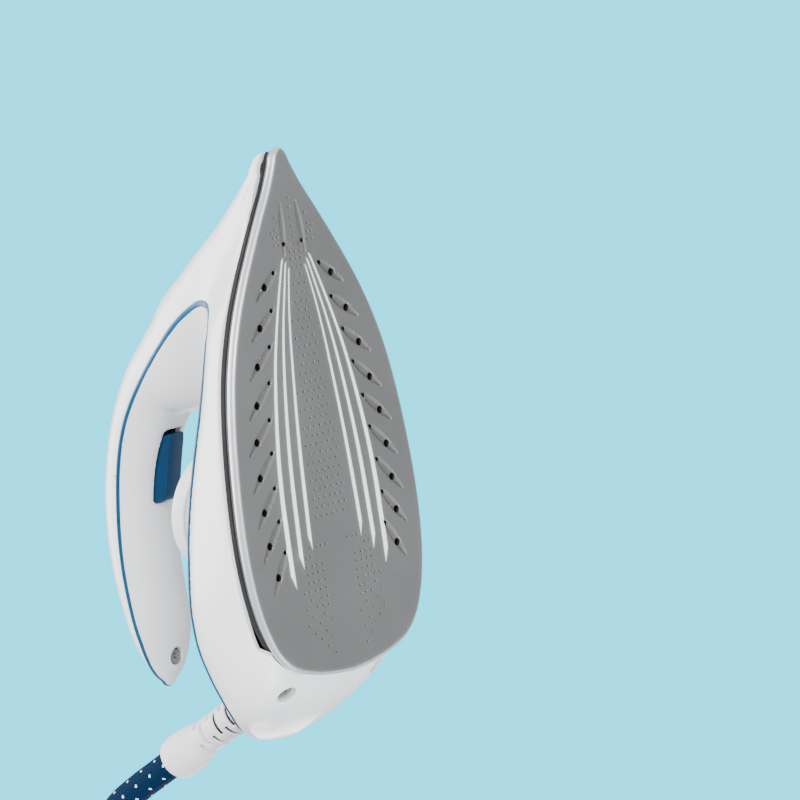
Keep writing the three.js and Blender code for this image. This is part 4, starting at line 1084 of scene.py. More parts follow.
def teardrop(a, b, ra, rb, n=9):
    """Outline round two circles of different radius, from a to b."""
    a, b = np.array(a, float), np.array(b, float)
    d = b - a
    L = np.linalg.norm(d)
    th = math.atan2(d[1], d[0])
    be = math.acos(max(-1, min(1, (ra - rb) / L)))
    A = [a + ra * np.array([math.cos(th + t), math.sin(th + t)]) for t in np.linspace(be, 2 * math.pi - be, n)]
    Bp = [b + rb * np.array([math.cos(th + t), math.sin(th + t)]) for t in np.linspace(-be, be, n)]
    return np.array(A + Bp)


HOLES = [(169.9, 22.0), (153.3, 28.5), (137.4, 33.6), (121.4, 37.5), (106.1, 40.9), (90.9, 42.1), (76.1, 42.6), (61.6, 42.4), (47.5, 39.8)]
HOLES2 = [(175.1, 15.2), (159.5, 19.9), (144.6, 24.4), (129.6, 28.0), (114.2, 31.2), (100.0, 32.8), (85.2, 34.2), (70.8, 34.6), (57.2, 33.6)]
STRIPES = [
    ([(179.4, 9.1), (175, 10.7), (166, 13.9), (157, 16.9), (148, 19.7), (139, 22.2), (130, 24.2), (121, 25.9), (112, 27.4), (103, 28.7), (94, 29.8), (85, 30.5), (76, 31), (67, 31.1), (58, 31.2), (43.4, 31.2)], 0.9, 2.7),
    ([(177.5, 7.2), (175, 7.95), (166, 10.4), (157, 12.9), (148, 15), (139, 16.8), (130, 18.3), (121, 19.6), (112, 20.7), (103, 21.7), (94, 22.5), (85, 23.1), (76, 23.5), (67, 23.8), (58, 24.1), (50.8, 24.3)], 0.8, 2.4),
    ([(174.9, 5.6), (166, 7.5), (157, 9.2), (148, 10.5), (139, 11.6), (130, 12.5), (121, 13.4), (112, 14.2), (103, 14.9), (94, 15.5), (85, 16), (76, 16.4), (67, 16.8), (57.9, 17.1)], 0.7, 2.1),
]
polys = []                      # (outline, kind, depth) : kinds groove, floor, hole, wall, print, dimple
for k in (-1, 1):
    for h, h2 in zip(HOLES, HOLES2):
        a, b = np.array(h2), np.array(h)
        d = unit(b - a)
        A, B = a - d * 3.2, b + d * 9.5
        for grow, kind, dep in ((0.0, "groove", 0.0), (1.15, "floor", 0.75)):
            polys.append((leaf(A * [1, k], B * [1, k], 2.35, grow=grow), kind, dep))
        for c, r in ((h, 1.7), (h2, 1.0)):
            polys.append((ring_pts(c[0], k * c[1], r + 0.12, 20), "lip", 0.6))
            polys.append((ring_pts(c[0], k * c[1], r, 20), "hole", 3.6))
    for grow, kind, dep in ((0.0, "groove", 0.0), (0.75, "floor", 0.6)):
        polys.append((leaf((204.6, 5.0 * k), (180.2, 6.9 * k), 1.85, grow=grow), kind, dep))
    polys.append((ring_pts(186.2, 5.9 * k, 1.08, 18), "lip", 0.5))
    polys.append((ring_pts(186.2, 5.9 * k, 1.0, 18), "hole", 3.4))
    for pts, w0, w1 in STRIPES:
        c = centripetal(pts, 46)
        T = unit(np.gradient(c, axis=0))
        Nn = np.c_[-T[:, 1], T[:, 0]]
        f = np.linspace(0, 1, len(c))
        w = (w0 + (w1 - w0) * np.minimum(1, f * 1.25)) / 2
        slant = np.interp(f, [0, 0.03, 0.93, 1], [-2.5, 0, 0, 5.0])
        A = c + Nn * w[:, None]
        B = c - Nn * w[:, None]
        A[-1] += T[-1] * 3.2
        B[-1] -= T[-1] * 3.2
        A[0] -= T[0] * 1.5
        q = np.vstack([A, B[::-1]]) * [1, k]
        polys.append((q, "print", 0.0))
dim = []
ROWS = {56: (7.2, 10.6, 13.6, 17.9), 52.3: (18.1, 21.0), 48.3: (11.0, 14.6, 17.8, 21.6), 45.1: (11.0, 14.5, 18.1, 21.1), 41.2: (10.7, 14.4, 17.8, 21.3), 37.6: (10.7, 14.6, 17.8, 21.6, 25.2),
        34.0: (10.9, 14.5, 21.3), 30.5: (10.9, 14.3, 18.0, 25.0), 26.8: (14.2, 21.6), 23.3: (9.6, 17.8, 25.1), 19.4: (14.5, 21.5), 16.4: (11.1, 18.1), 12.6: (14.5,), 9.2: (10.5,),
        197.8: (9.8,), 193: (10.7,), 192: (13.3,), 189.5: (9.8, 12.2), 186.3: (9.4, 12.2)}
for s_, yy in ROWS.items():
    for y_ in yy:
        for k in (-1, 1):
            dim.append((s_, k * y_))
for s_ in (205.5, 201.4, 197.0, 193.2, 189.1, 185.4):
    dim.append((s_, 0.3))
for s_ in (182.3, 179.2, 175.6):
    for y_ in (-2.9, 0.2, 3.3):
        dim.append((s_, y_))
for i in range(28):              # staggered rows between the printed stripes
    s_ = 172.2 - 3.85 * i
    wd = np.interp(s_, [60, 110, 150, 172], [10.5, 9.0, 5.2, 3.6])
    y_ = 0.15 if i % 2 else 1.9
    while y_ < wd:
        dim.append((s_, y_))
        dim.append((s_ + 0.1, -y_ if i % 2 == 0 else -y_ - 3.55))
        y_ += 3.6
for d in dim:
    if outline_distance(np.array([d[0]]), np.array([d[1]]))[0] < -3:
        polys.append((ring_pts(d[0], d[1], 0.68, 9), "dimple", 0.0))
        polys.append((ring_pts(d[0], d[1], 0.36, 7), "dimpf", 0.35))

outer_ring = offset_outline(1.15, 220)
verts2, edges2, owner = [], [], []


def add_loop(q):
    n = len(verts2)
    verts2.extend([Vector((float(p[0]), float(p[1]))) for p in q])
    m_ = len(q)
    edges2.extend([(n + i, n + (i + 1) % m_) for i in range(m_)])
    return range(n, n + m_)


rng_outer = add_loop(outer_ring)
spans = [add_loop(q) for q, _, _ in polys]
# a light scatter of inner points keeps the triangles well shaped
grid = []
for s_ in np.arange(8, 222, 7.0):
    for y_ in np.arange(-52.5, 53, 7.0):
        if outline_distance(np.array([s_]), np.array([y_]))[0] < -4:
            grid.append((s_, y_))
verts2.extend([Vector(p) for p in grid])
cv, ce, cf, ov, oe, of_ = delaunay_2d_cdt(verts2, edges2, [], 0, 1e-5)
P2 = np.array([[p.x, p.y] for p in cv])


def inside_poly(pts, q):
    x, y = pts[:, 0], pts[:, 1]
    res = np.zeros(len(pts), bool)
    a, b = q, np.roll(q, -1, 0)
    for (x0, y0), (x1, y1) in zip(a, b):
        if y0 == y1:
            continue
        res ^= ((y0 > y) != (y1 > y)) & (x < (x1 - x0) * (y - y0) / (y1 - y0) + x0)
    return res


cen = np.array([P2[list(f)].mean(0) for f in cf])
keep = inside_poly(cen, outer_ring)
tris = [list(f) for f, kk in zip(cf, keep) if kk]
cen = cen[keep]
kind = np.zeros(len(tris), int)               # 0 face, 1 print, 2 hole floor
zv = np.zeros(len(P2))
near_v = [set() for _ in range(1)]
for (q, knd, dep), span in zip(polys, spans):
    lo, hi = q.min(0) - 1e-6, q.max(0) + 1e-6
    c = np.flatnonzero((cen > lo).all(1) & (cen < hi).all(1))
    c = c[inside_poly(cen[c], q)]
    if knd == "print":
        kind[c] = 1
    if knd == "hole":
        kind[c] = 2
    if knd == "dimpf":
        kind[c] = 4
    if knd in ("floor", "lip", "hole", "dimpf"):
        vv = np.unique(np.array([tris[i] for i in c]).ravel()) if len(c) else np.array([], int)
        zv[vv] = np.maximum(zv[vv], dep if knd != "hole" else 0)
        zv[vv] = np.where(knd == "hole", zv[vv], zv[vv])
# holes: a separate wall goes up from the lip, painted near-black as shade up to its closed end
hole_ids = [i for i, p in enumerate(polys) if p[1] == "hole"]
Vb = [np.array([p[0], p[1], z]) for p, z in zip(P2, zv)]
T3, MI = [], []
for f, kd in zip(tris, kind):
    if kd == 2:
        continue
    T3.append(f[::-1])
    # dimple floors take index 3, the painted shade material of the holes
    MI.append(2 if kd == 1 else 3 if kd == 4 else 0)
for i in hole_ids:
    q, _, dep = polys[i]
    c = q.mean(0)
    base = []
    for p in q:
        j = int(np.argmin(((P2 - p) ** 2).sum(1)))
        base.append(j)
    z0 = float(np.mean([Vb[j][2] for j in base]))
    top = []
    for p in q:
        top.append(len(Vb))
        Vb.append(np.array([p[0], p[1], z0 + dep]))
    n = len(q)
    for a in range(n):
        b = (a + 1) % n
        T3.append([base[a], base[b], top[b], top[a]])
        # hole walls and ends take index 3, the painted shade
        MI.append(3)
    T3.append(top)
    MI.append(3)
# rounded rim, side band and top
last = list(rng_outer)
base_ids = [int(np.argmin(((P2 - p) ** 2).sum(1))) for p in outer_ring]
C0 = outer_ring
full0 = offset_outline(0.0, 220)


def closest_on(off, ref):
    P = offset_outline(off, 1600)
    return P[[int(np.argmin(((P - r) ** 2).sum(1))) for r in ref]]


prev = base_ids


def rear_run(q, amount):
    """Lets the rear edge run past the skirt by up to the amount given."""
    u = np.clip(q[:, 0] / 26, 0, 1)
    q = q.copy()
    q[:, 0] -= amount * (1 - u * u * (3 - 2 * u))
    return q


for off, z, mi_, run in ((0.62, 0.14, 0, 0.45), (0.26, 0.46, 1, 1.0), (0.04, 0.98, 1, 1.45), (0.0, 1.6, 1, 1.68), (0.0, 3.5, 1, 1.68), (0.3, 4.1, 1, 1.68), (1.2, 4.6, 1, 1.6), (2.4, 4.98, 1, 1.5)):
    q = rear_run(closest_on(off, outer_ring), run)
    ids = []
    for p in q:
        ids.append(len(Vb))
        Vb.append(np.array([p[0], p[1], z]))
    n = len(ids)
    for a in range(n):
        b = (a + 1) % n
        T3.append([prev[a], prev[b], ids[b], ids[a]])
        MI.append(mi_)
    prev = ids
T3.append(prev)
MI.append(1)
used = sorted({i for f in T3 for i in f})
remap = {j: i for i, j in enumerate(used)}
sole = make("soleplate_face", np.array([Vb[j] for j in used]), [[remap[i] for i in f] for f in T3], [SOLE, SOLE_EDGE, PRINT, HOLE_SHADE], mi=MI, sharp=38)
bm = bmesh.new()
bm.from_mesh(sole.data)
bmesh.ops.recalc_face_normals(bm, faces=bm.faces)
for e in bm.edges:
    if len(e.link_faces) == 2 and max(v.co.z for v in e.verts) < 0.0012:
        f, g = e.link_faces
        if f.material_index != 1 and g.material_index != 1 and f.calc_area() > 1e-12 and g.calc_area() > 1e-12 and f.normal.angle(g.normal, 0.0) > 0.14:
            e.smooth = False
bm.to_mesh(sole.data)
bm.free()
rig.ride(sole, "handpiece")
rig.replaces(sole, "soleplate")
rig.slot(sole, "sole_metal")


# ------------------------------------------------------------------ gasket band between plate and skirt
def band(offs, mats, name, mi_of=None, clip_nose=True, n=300):
    """Closed ring from [(offset, z)...] round the outline."""
    base = offset_outline(offs[0][0], n)
    rows = []
    for off, z in offs:
        P = offset_outline(off, 1600)
        q = P[[int(np.argmin(((P - r) ** 2).sum(1))) for r in base]]
        zz = np.full(len(q), float(z))
        rows.append(np.c_[q, zz])
    V, F, MIb = [], [], []
    for r in rows:
        V += list(r)
    m_ = len(rows)
    for a in range(m_):
        b = (a + 1) % m_
        for i in range(n):
            j = (i + 1) % n
            F.append([a * n + i, a * n + j, b * n + j, b * n + i])
            MIb.append(0 if mi_of is None else mi_of[a])
    return recalc(make(name, V, F, mats, mi=MIb, sharp=40))


# the band's two lowest face rows take the painted light copy of the black
gasket = band([(1.75, 5.32), (1.75, 6.4), (1.95, 6.55), (2.5, 6.7), (2.5, 7.1), (1.9, 7.25), (1.75, 7.4), (1.78, 9.25), (10.0, 9.25), (10.0, 5.32)], [GASKET, GASKET_LIT], "skirt_gasket_band", mi_of=[1, 1, 0, 0, 0, 0, 0, 0, 0, 0])
# lowered where the skirt comes down at the nose and cut away at the heel
gm = gasket.data
co = np.empty(len(gm.vertices) * 3, np.float32)
gm.vertices.foreach_get("co", co)
co = co.reshape(-1, 3)
s_ = co[:, 0] * 1000 + XO
top = np.interp(s_, [0, 13.5, 17.8, 183, 230], [5.45, 5.45, 9.25, 9.25, 7.9])
co[:, 2] = np.minimum(co[:, 2], top * 0.001)
gm.vertices.foreach_set("co", co.ravel())
gm.update()
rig.ride(gasket, "handpiece")
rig.replaces(gasket, "skirt_gasket")
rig.slot(gasket, "gasket_black")

# ------------------------------------------------------------------ dial, its plinth and its mark
TILT = 0.19
DN = np.array([math.sin(TILT), 0, math.cos(TILT)])
DX = np.array([math.cos(TILT), 0, -math.sin(TILT)])
DY = np.array([0, 1.0, 0])
DA = np.array([71.5, 0, 63.7])
DR, DH = 27.0, 7.6
# the plinth under the dial is drawn in the painted shade copy of the liner grey
plinth = make("dial_plinth", *lathe(rounded([(0, -11.5), (DR + 1.2, -11.5), (DR - 0.4, -7.0), (DR - 1.1, -3.0), (DR - 1.3, -0.5), (DR - 2.4, -0.45), (0, -0.45)], 0.8), DA, DN, 96, (DX, DY)), PLINTH_SHADE, sharp=40)
recalc(plinth)
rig.ride(plinth, "handpiece")
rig.slot(plinth, "liner_grey")


def dial_mesh():
    rows = [(DR - 2.4, 0.0), (DR - 0.5, 0.0), (DR - 0.12, 0.3), (DR, 0.8), (DR, 5.4), (DR - 0.25, 6.1), (DR - 0.9, 6.75), (DR - 2.0, 7.3), (DR - 3.2, 7.52), (DR - 5.0, 7.58), (DR - 5.6, 7.3), (DR - 6.1, 6.95), (DR - 7.0, 6.9), (8.0, 6.9), (3.0, 6.9)]
    n = 432
    V, F = [], []
    for r, h in rows:
        for i in range(n):
            a = 2 * math.pi * i / n
            g = 0.0
            if 0.5 < h < 6.2 and r > DR - 0.5:      # finger grip round the edge
                g = -0.2 * (0.5 - 0.5 * math.cos(72 * a)) ** 2 * min(1.0, (h - 0.3) / 0.8)
            # the grip bar across the top is drawn later as a separate raised piece
            x, y = r * math.cos(a), r * math.sin(a)
            hh = h
            V.append(DA + DX * (r + g) * math.cos(a) + DY * (r + g) * math.sin(a) + DN * hh)
    k = len(rows)
    for j in range(k - 1):
        for i in range(n):
            i2 = (i + 1) % n
            F.append([j * n + i, j * n + i2, (j + 1) * n + i2, (j + 1) * n + i])
    c1 = len(V)
    V.append(DA + DN * 6.9)
    c0 = len(V)
    V.append(DA)
    for i in range(n):
        i2 = (i + 1) % n
        F.append([(k - 1) * n + i, (k - 1) * n + i2, c1])
        F.append([i2, i, c0])
    return V, F


dial = recalc(make("dial_knob", *dial_mesh(), DIALW, sharp=45))
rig.ride(dial, "dial")
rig.replaces(dial, "temperature_dial")
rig.slot(dial, "dial_white")


def raised(outline, z0, z1, name, mt, body, slot_, round_=0.15):
    """Small raised mark on the dial's top from an outline in dial coordinates."""
    q = np.asarray(outline, float)
    c = q.mean(0)
    rows = [(q, z0), (q, z1 - round_), (c + (q - c) * 0.93, z1)]
    V, F = [], []
    n = len(q)
    for r, h in rows:
        for p in r:
            V.append(DA + DX * p[0] + DY * p[1] + DN * h)
    for j in range(2):
        for i in range(n):
            F.append([j * n + i, j * n + (i + 1) % n, (j + 1) * n + (i + 1) % n, (j + 1) * n + i])
    F.append(list(range(n))[::-1])
    F.append([2 * n + i for i in range(n)])
    o = recalc(make(name, V, F, mt, sharp=40))
    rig.ride(o, body)
    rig.slot(o, slot_)
    return o


raised(teardrop((20.0, 0), (13.5, 0), 0.9, 0.9, 8), 6.8, 7.15, "dial_pointer", MARK, "dial", "trim_blue")
for i, rr in enumerate((0.55, 0.75, 0.95)):
    a = math.radians(150 + 30 * i)
    raised(ring_pts(16.5 * math.cos(a), 16.5 * math.sin(a), rr, 16), 6.8, 7.05, "dial_dot_%d" % (i + 1), MARK, "dial", "trim_blue")
raised(teardrop((-9.5, 0), (9.5, 0), 3.4, 2.2, 14), 6.8, 7.56, "dial_grip_bar", DIALW, "dial", "dial_white", 0.3)


# ------------------------------------------------------------------ trigger
def side_block(outline, half, name, mt, bev=1.2, seg=4, dish=0.0):
    q = np.asarray(outline, float)
    V = [(p[0], -half, p[1]) for p in q] + [(p[0], half, p[1]) for p in q]
    n = len(q)
    F = [list(range(n)), [n + i for i in range(n)][::-1]] + [[(i + 1) % n, i, n + i, n + (i + 1) % n] for i in range(n)]
    o = recalc(make(name, V, F, mt))
    md = o.modifiers.new("b", "BEVEL")
    md.width, md.segments, md.limit_method, md.angle_limit = bev * 0.001, seg, "ANGLE", math.radians(28)
    md.harden_normals = False
    bpy.context.view_layer.objects.active = o
    dg = bpy.context.evaluated_depsgraph_get()
    me = bpy.data.meshes.new_from_object(o.evaluated_get(dg))
    o.modifiers.clear()
    o.data = me
    me.polygons.foreach_set("use_smooth", np.ones(len(me.polygons), bool))
    me.set_sharp_from_angle(angle=math.radians(40))
    return o


TRIG = centripetal([[106.1, 84.2], [102.5, 84.95], [97, 86.7], [90, 88.8], [83, 90.7], [79.4, 91.7]], 16)
TRIG_OUT = list(map(tuple, TRIG)) + [(77.6, 92.4), (76.5, 93.7), (76, 96), (75.9, 101), (74.1, 101.9), (74.1, 105.6), (75.6, 107.1), (79.4, 107.1), (81.4, 105.6), (83, 103.2), (102.5, 103.2), (104.9, 97.5), (106.15, 90), (106.3, 85.4)]
trigger = side_block(TRIG_OUT, 5.0, "trigger_lever", TRIGGER, bev=1.5)
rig.ride(trigger, "trigger")
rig.replaces(trigger, "steam_trigger")
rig.slot(trigger, "trigger_blue")


# ------------------------------------------------------------------ strain relief with its staggered slots
def relief_mesh():
    prof = hermite([-9, 0, 6, 20, 30, 33, 35.5, 38, 42, 50.6, 52.2, 53.0], [7.5, 8.2, 8.2, 7.95, 8.1, 8.5, 9.3, 9.75, 9.95, 9.9, 9.5, 8.8])
    tt = np.r_[np.linspace(-9, 31, 60 if QUICK else 112), np.linspace(31.6, 53, 26)]
    n = 120 if QUICK else 168
    e1 = np.array([0, -1.0, 0])
    e2 = np.cross(RD, e1)
    slots = []
    for i, tc in enumerate((5.6, 10.3, 14.6, 19.7, 24.5, 28.8)):
        c0, half = (6.5, 43.5) if i % 2 == 0 else (-83.5, 62.0)
        c0, half = (c0, half) if i % 2 == 0 else (c0, half)
        slots.append((tc, c0, half))
        slots.append((tc, c0 + 180, half))
    # odd rings sit about the front, even rings about the sides
    V, DEPS = [], []
    phi = np.arange(n) * 360.0 / n
    for t in tt:
        r = float(prof(t)) * np.ones(n)
        dep = np.zeros(n)
        for j, (tc, c0, half) in enumerate(slots):
            da = np.abs((phi - c0 + 180) % 360 - 180)
            along_ = (half - da) * math.pi / 180 * 8.0
            e = np.minimum(along_, 1.0 - abs(t - tc))
            dep = np.maximum(dep, np.clip(e / 0.4, 0, 1))
        DEPS.append(dep)
        r = r - 3.0 * dep
        a = np.radians(phi)
        V += list(RELIEF_AT + RD * t + e1 * (r * np.cos(a))[:, None] + e2 * (r * np.sin(a))[:, None])
    F, MIr = [], []
    m_ = len(tt)
    for i in range(m_ - 1):
        for j in range(n):
            k2 = (j + 1) % n
            F.append([i * n + j, i * n + k2, (i + 1) * n + k2, (i + 1) * n + j])
            # faces down in the slots take the painted shade material
            MIr.append(1 if min(DEPS[i][j], DEPS[i][k2], DEPS[i + 1][j], DEPS[i + 1][k2]) > 0.12 else 0)
    # mouth round the hose and closed inner end
    rows = [(7.2, 53.05), (6.85, 52.6), (6.85, 45.0)]
    prev0 = (m_ - 1) * n
    for r, t in rows:
        st = len(V)
        a = np.radians(phi)
        V += list(RELIEF_AT + RD * t + e1 * (r * np.cos(a))[:, None] + e2 * (r * np.sin(a))[:, None])
        for j in range(n):
            k2 = (j + 1) % n
            F.append([prev0 + j, prev0 + k2, st + k2, st + j])
        prev0 = st
    c = len(V)
    V.append(RELIEF_AT + RD * 45.0)
    F += [[prev0 + j, prev0 + (j + 1) % n, c] for j in range(n)]
    c = len(V)
    V.append(RELIEF_AT - RD * 9)
    F += [[(j + 1) % n, j, c] for j in range(n)]
    return V, F, MIr + [0] * (len(F) - len(MIr))


rv, rf, rm = relief_mesh()
relief = recalc(make("strain_relief_sleeve", rv, rf, [RELIEF, SLOT_SHADE], mi=rm, sharp=50))
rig.ride(relief, "handpiece")
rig.replaces(relief, "strain_relief")
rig.slot(relief, "relief_grey")

# ------------------------------------------------------------------ far end: gland, brass nipple, strap
GA, GD = np.array([COIL_S - 50.0, COIL_Y - COIL_R, COIL_Z0 + 11.1]), np.array([-1.0, 0, 0])
gp = [(0, 0.05), (6.9, 0.05), (7.5, 0.3), (7.6, 1.0)]
for i in range(7):                # ribbed bend guard
    z = 2.0 + i * 2.7
    gp += [(7.9 + 0.16 * i, z), (7.9 + 0.16 * i, z + 1.7), (7.2 + 0.16 * i, z + 2.0), (7.2 + 0.16 * i, z + 2.5)]
gp += [(9.2, 21.8), (11.6, 22.0), (12.15, 22.6), (12.15, 25.6), (11.6, 26), (9.6, 26.2), (9.6, 28.9), (11.6, 29.1), (12.15, 29.7), (12.15, 35.6), (11.4, 36.4), (10, 37.6), (9.9, 41.6), (9.4, 42), (0, 42)]
gland = recalc(make("gland_body", *lathe(rounded(gp, 0.3, 2), GA, GD, 72), RELIEF, sharp=40))
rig.ride(gland, "handpiece")
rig.replaces(gland, "station_gland")
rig.slot(gland, "relief_grey")
npf = [(0, 42.35), (3.9, 42.35)]
for i in range(9):
    npf += [(4.0, 42.8 + i * 0.75), (3.6, 43.15 + i * 0.75)]
npf += [(4.0, 49.6), (4.8, 50), (4.8, 52), (4, 52.6), (3.9, 53.2), (3.3, 53.5), (3.9, 53.9), (3.2, 55.8), (2.1, 55.95), (2, 55.5), (2, 46), (0, 46)]
nip = recalc(make("gland_nipple_turned", *lathe(rounded(npf, 0.12, 1), GA, GD, 56), BRASS, sharp=35))
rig.ride(nip, "handpiece")
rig.replaces(nip, "gland_nipple")
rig.slot(nip, "brass")


def strap_mesh():
    """Hook-and-loop strap round the three turns, as one closed band."""
    a = 2.1
    rad, tan = np.array([math.cos(a), math.sin(a), 0]), np.array([-math.sin(a), math.cos(a), 0])
    top = COIL_Z0 + 2 * PITCH + 13
    x0, x1, z0, z1 = COIL_R - 8.3, COIL_R + 8.3, 0.5, top + 1.0
    r = 4.4
    q = []
    for cx, cz, a0 in ((x1 - r, z1 - r, 0), (x0 + r, z1 - r, 90), (x0 + r, z0 + r, 180), (x1 - r, z0 + r, 270)):
        for i in range(9):
            t = math.radians(a0 + 90 * i / 8)
            q.append((cx + r * math.cos(t), cz + r * math.sin(t)))
    q = np.array(q)
    dense = []
    for p0, p1 in zip(q, np.roll(q, -1, 0)):
        m_ = max(1, int(np.linalg.norm(p1 - p0) / 1.2))
        dense += [p0 + (p1 - p0) * i / m_ for i in range(m_)]
    q = np.array(dense)
    T = unit(np.roll(q, -1, 0) - np.roll(q, 1, 0))
    Nn = np.c_[T[:, 1], -T[:, 0]]
    wv = 6.7
    cs = [(-wv, 0.0), (-wv + 0.3, 0.42), (wv - 0.3, 0.42), (wv, 0.0), (wv - 0.3, -0.42), (-wv + 0.3, -0.42)]
    V, F = [], []
    for i, (p, nn) in enumerate(zip(q, Nn)):
        for w_, h in cs:
            c = p + nn * h
            V.append(np.array([COIL_S, COIL_Y, 0]) + rad * c[0] + tan * w_ + np.array([0, 0, c[1]]))
    n, k = len(q), len(cs)
    for i in range(n):
        j = (i + 1) % n
        for c in range(k):
            d = (c + 1) % k
            F.append([i * k + c, i * k + d, j * k + d, j * k + c])
    return V, F


strap = recalc(make("hose_strap", *strap_mesh(), STRAP, sharp=50))
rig.ride(strap, "handpiece")
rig.replaces(strap, "hose_tie")
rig.slot(strap, "dark_plastic")

# ------------------------------------------------------------------ screws with drives, in their recesses
def screw(at, d, r, z0, z1, name, node, depth=1.5, shank=1.4, end=10.0):
    x, y, z = basis(d)
    prof = rounded([(0, z0), (r * 0.8, z0), (r, z0 + 0.5), (r, z1), (shank, z1), (shank, end), (0, end)], 0.25, 2)
    V, F = lathe(prof, at, d, 48)
    o = recalc(make(name, V, F, SCREW, sharp=35))
    # six-lobe drive, sunk by a boolean
    n = 36
    q = [(r * 0.42 * (1 + 0.16 * math.cos(6 * t)) * math.cos(t), r * 0.42 * (1 + 0.16 * math.cos(6 * t)) * math.sin(t)) for t in np.linspace(0, 2 * math.pi, n, endpoint=False)]
    Vc = [np.asarray(at) + x * a + y * b + z * h for h in (z0 - 0.5, z0 + depth) for a, b in q]
    Fc = [list(range(n))[::-1], [n + i for i in range(n)]] + [[i, (i + 1) % n, n + (i + 1) % n, n + i] for i in range(n)]
    c = recalc(make(name + "_cut", Vc, Fc, HOLE_SHADE))
    md = o.modifiers.new("d", "BOOLEAN")
    md.object, md.operation, md.solver = c, "DIFFERENCE", "EXACT"
    dg = bpy.context.evaluated_depsgraph_get()
    me = bpy.data.meshes.new_from_object(o.evaluated_get(dg))
    o.modifiers.clear()
    o.data = me
    bpy.data.objects.remove(c, do_unlink=True)
    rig.ride(o, "handpiece")
    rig.replaces(o, node)
    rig.slot(o, "steel")
    return o


for i, h in enumerate(HEEL):
    screw(h["at"], h["dir"], 4.0, 2.4, 5.1, "heel_screw_head_%d" % (i + 1), "heel_screw_%d" % (i + 1), end=12.5)
screw(TAIL["at"], TAIL["dir"], 3.5, 0.4, 2.5, "handle_screw_head", "handle_screw", depth=1.2, shank=1.3, end=7.2)


def cup(at, d, r, z1, name, mt, slot_):
    """Round recess wall with a floor, from the outer surface inwards."""
    x, y, z = basis(d)
    at = np.asarray(at, float)
    n = 64
    A = np.linspace(0, 2 * math.pi, n, endpoint=False)

    def rim(rad):
        P0 = at + (x * np.cos(A)[:, None] + y * np.sin(A)[:, None]) * rad
        lo, hi = np.full(n, -7.0), np.full(n, 7.0)      # outside, inside
        for _ in range(30):
            mid = (lo + hi) / 2
            Q = P0 + z * mid[:, None]
            ins = W(Q[:, 0], Q[:, 1], Q[:, 2]) < 0
            lo, hi = np.where(ins, lo, mid), np.where(ins, mid, hi)
        return hi

    h0, h1 = rim(r), rim(r + 0.75)
    rows = [(r, h0 + 0.35), (r + 0.12, h0 + 0.08), (r + 0.4, (h0 + h1) / 2 - 0.02), (r + 0.75, h1 + 0.25), (r + 0.8, np.maximum(h1 + 1.6, z1 + 0.9)), (r * 0.5, np.full(n, z1 + 0.9)), (r * 0.5, np.full(n, z1)), (r - 0.3, np.full(n, z1)), (r, np.full(n, z1 - 0.3))]
    V, F = [], []
    for rr, h in rows:
        V += list(at + (x * np.cos(A)[:, None] + y * np.sin(A)[:, None]) * rr + z * np.asarray(h)[:, None])
    k = len(rows)
    for i in range(k):
        i2 = (i + 1) % k
        for j in range(n):
            j2 = (j + 1) % n
            F.append([i * n + j, i * n + j2, i2 * n + j2, i2 * n + j])
    o = recalc(make(name, V, F, mt, sharp=40))
    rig.ride(o, "handpiece")
    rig.slot(o, slot_)
    return o


for i, h in enumerate(HEEL):
    cup(h["at"], h["dir"], 4.6, 5.6, "heel_recess_%d" % (i + 1), WHITE, "shell_white")
cup(TAIL["at"], TAIL["dir"], 4.05, 2.8, "handle_recess", LINER, "liner_grey")

# ------------------------------------------------------------------ inner pieces keep their CAD shape
for node, mt in {
    "heater_casting": CAST, "heating_element": STEEL, "steam_chamber_cover": STEEL, "cover_screw_1": STEEL, "cover_screw_2": STEEL, "cover_screw_3": STEEL, "cover_screw_4": STEEL,
    "thermostat": STEEL, "thermal_fuse": BLACK, "terminal_block": BLACK, "steam_inlet_tube": SILICONE, "cord_clamp": BLACK, "trigger_pin": STEEL, "trigger_spring": STEEL,
    "microswitch": BLACK, "microswitch_plunger": TRIM_PAINTED_LIGHT, "dial_spindle": STEEL,
}.items():
    o = NODES[node]
    o.data.materials.clear()
    o.data.materials.append(mt)

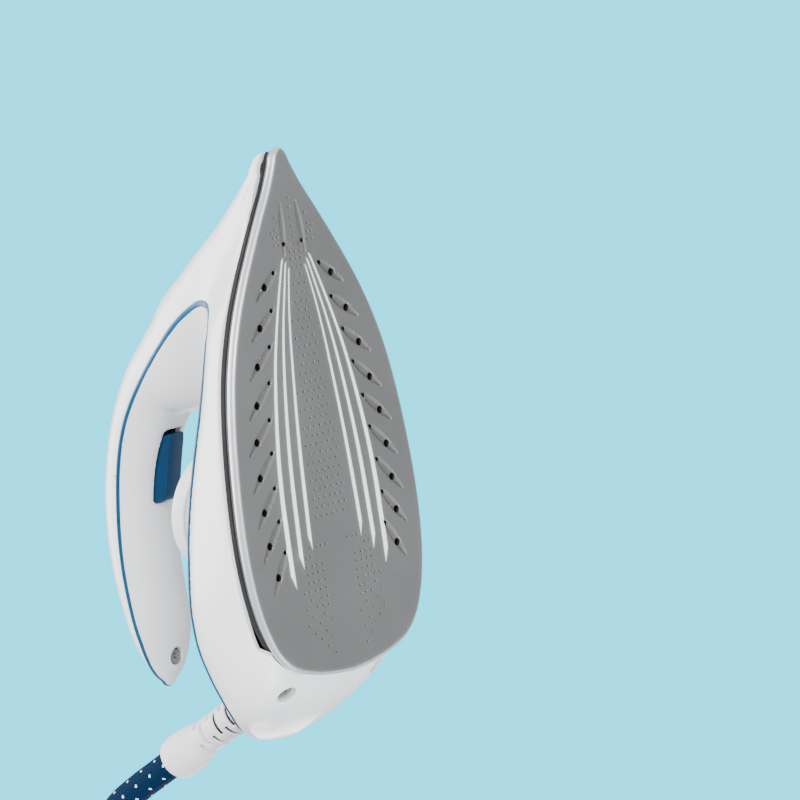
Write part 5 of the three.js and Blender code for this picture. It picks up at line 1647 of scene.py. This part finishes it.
# ------------------------------------------------------------------ stage, light
def stage_floor():
    mt = bpy.data.materials.new("floor")
    mt.use_nodes = True
    nt = mt.node_tree
    nt.nodes.clear()
    L = nt.links.new
    out = nt.nodes.new("ShaderNodeOutputMaterial")
    b = nt.nodes.new("ShaderNodeBsdfPrincipled")
    b.inputs["Base Color"].default_value = (0.74, 0.78, 0.80, 1)
    b.inputs["Roughness"].default_value = 0.75
    tr = nt.nodes.new("ShaderNodeBsdfTransparent")
    geo = nt.nodes.new("ShaderNodeNewGeometry")
    mx = nt.nodes.new("ShaderNodeMixShader")
    L(geo.outputs["Backfacing"], mx.inputs["Fac"])
    L(b.outputs["BSDF"], mx.inputs[1])
    L(tr.outputs["BSDF"], mx.inputs[2])
    L(mx.outputs["Shader"], out.inputs["Surface"])
    me = bpy.data.meshes.new("floor")
    me.from_pydata([(-4, -4, -0.0004), (4, -4, -0.0004), (4, 4, -0.0004), (-4, 4, -0.0004)], [], [(0, 1, 2, 3)])
    me.materials.append(mt)
    o = bpy.data.objects.new("floor", me)
    bpy.context.scene.collection.objects.link(o)
    o.visible_shadow = False
    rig.stage(o)
    return o


stage_floor()
world = bpy.data.worlds.new("studio")
bpy.context.scene.world = world
world.use_nodes = True
nt = world.node_tree
nt.nodes.clear()
wo = nt.nodes.new("ShaderNodeOutputWorld")
b1, b2 = nt.nodes.new("ShaderNodeBackground"), nt.nodes.new("ShaderNodeBackground")
b1.inputs["Color"].default_value, b1.inputs["Strength"].default_value = (0.95, 0.97, 1.0, 1), 1.05
b2.inputs["Color"].default_value, b2.inputs["Strength"].default_value = (0.001, 0.72, 1.0, 1), 2.75
lp = nt.nodes.new("ShaderNodeLightPath")
mx = nt.nodes.new("ShaderNodeMixShader")
nt.links.new(lp.outputs["Is Camera Ray"], mx.inputs["Fac"])
nt.links.new(b1.outputs["Background"], mx.inputs[1])
nt.links.new(b2.outputs["Background"], mx.inputs[2])
nt.links.new(mx.outputs["Shader"], wo.inputs["Surface"])


def area(name, loc, target, size, power, color=(1, 1, 1)):
    li = bpy.data.lights.new(name, "AREA")
    li.shape, li.size, li.energy, li.color = "DISK", size, power, color
    o = bpy.data.objects.new(name, li)
    o.location = loc
    o.rotation_euler = (Vector(target) - Vector(loc)).to_track_quat("-Z", "Y").to_euler()
    bpy.context.scene.collection.objects.link(o)
    return o


MID = (0.0, 0, 0.05)
area("key", (1.0, -1.7, -0.5), MID, 1.0, 72)
area("fill_below", (-0.3, -0.6, -2.0), MID, 1.4, 25)
area("top", (0.3, -0.5, 2.0), MID, 1.6, 48)
area("rear", (-1.6, 1.2, 1.2), MID, 1.2, 22)
area("heel_side", (-1.9, -0.5, -0.6), MID, 1.0, 45)

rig.cord(hose, exit=hose_path[0], length=HOSE_LEN * 0.001, diameter=0.013, far_end="fitting", stiffness="stiff", lay="coiled", path=hose_path, with_pieces=[gland, nip, strap])
bpy.context.view_layer.update()
SIZE1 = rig.bounds()
try:
    with open("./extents.json", "w") as fh:
        json.dump({"cad": [[float(x) for x in c] for c in SIZE0], "visual": [[float(x) for x in c] for c in SIZE1]}, fh)
except OSError:
    pass
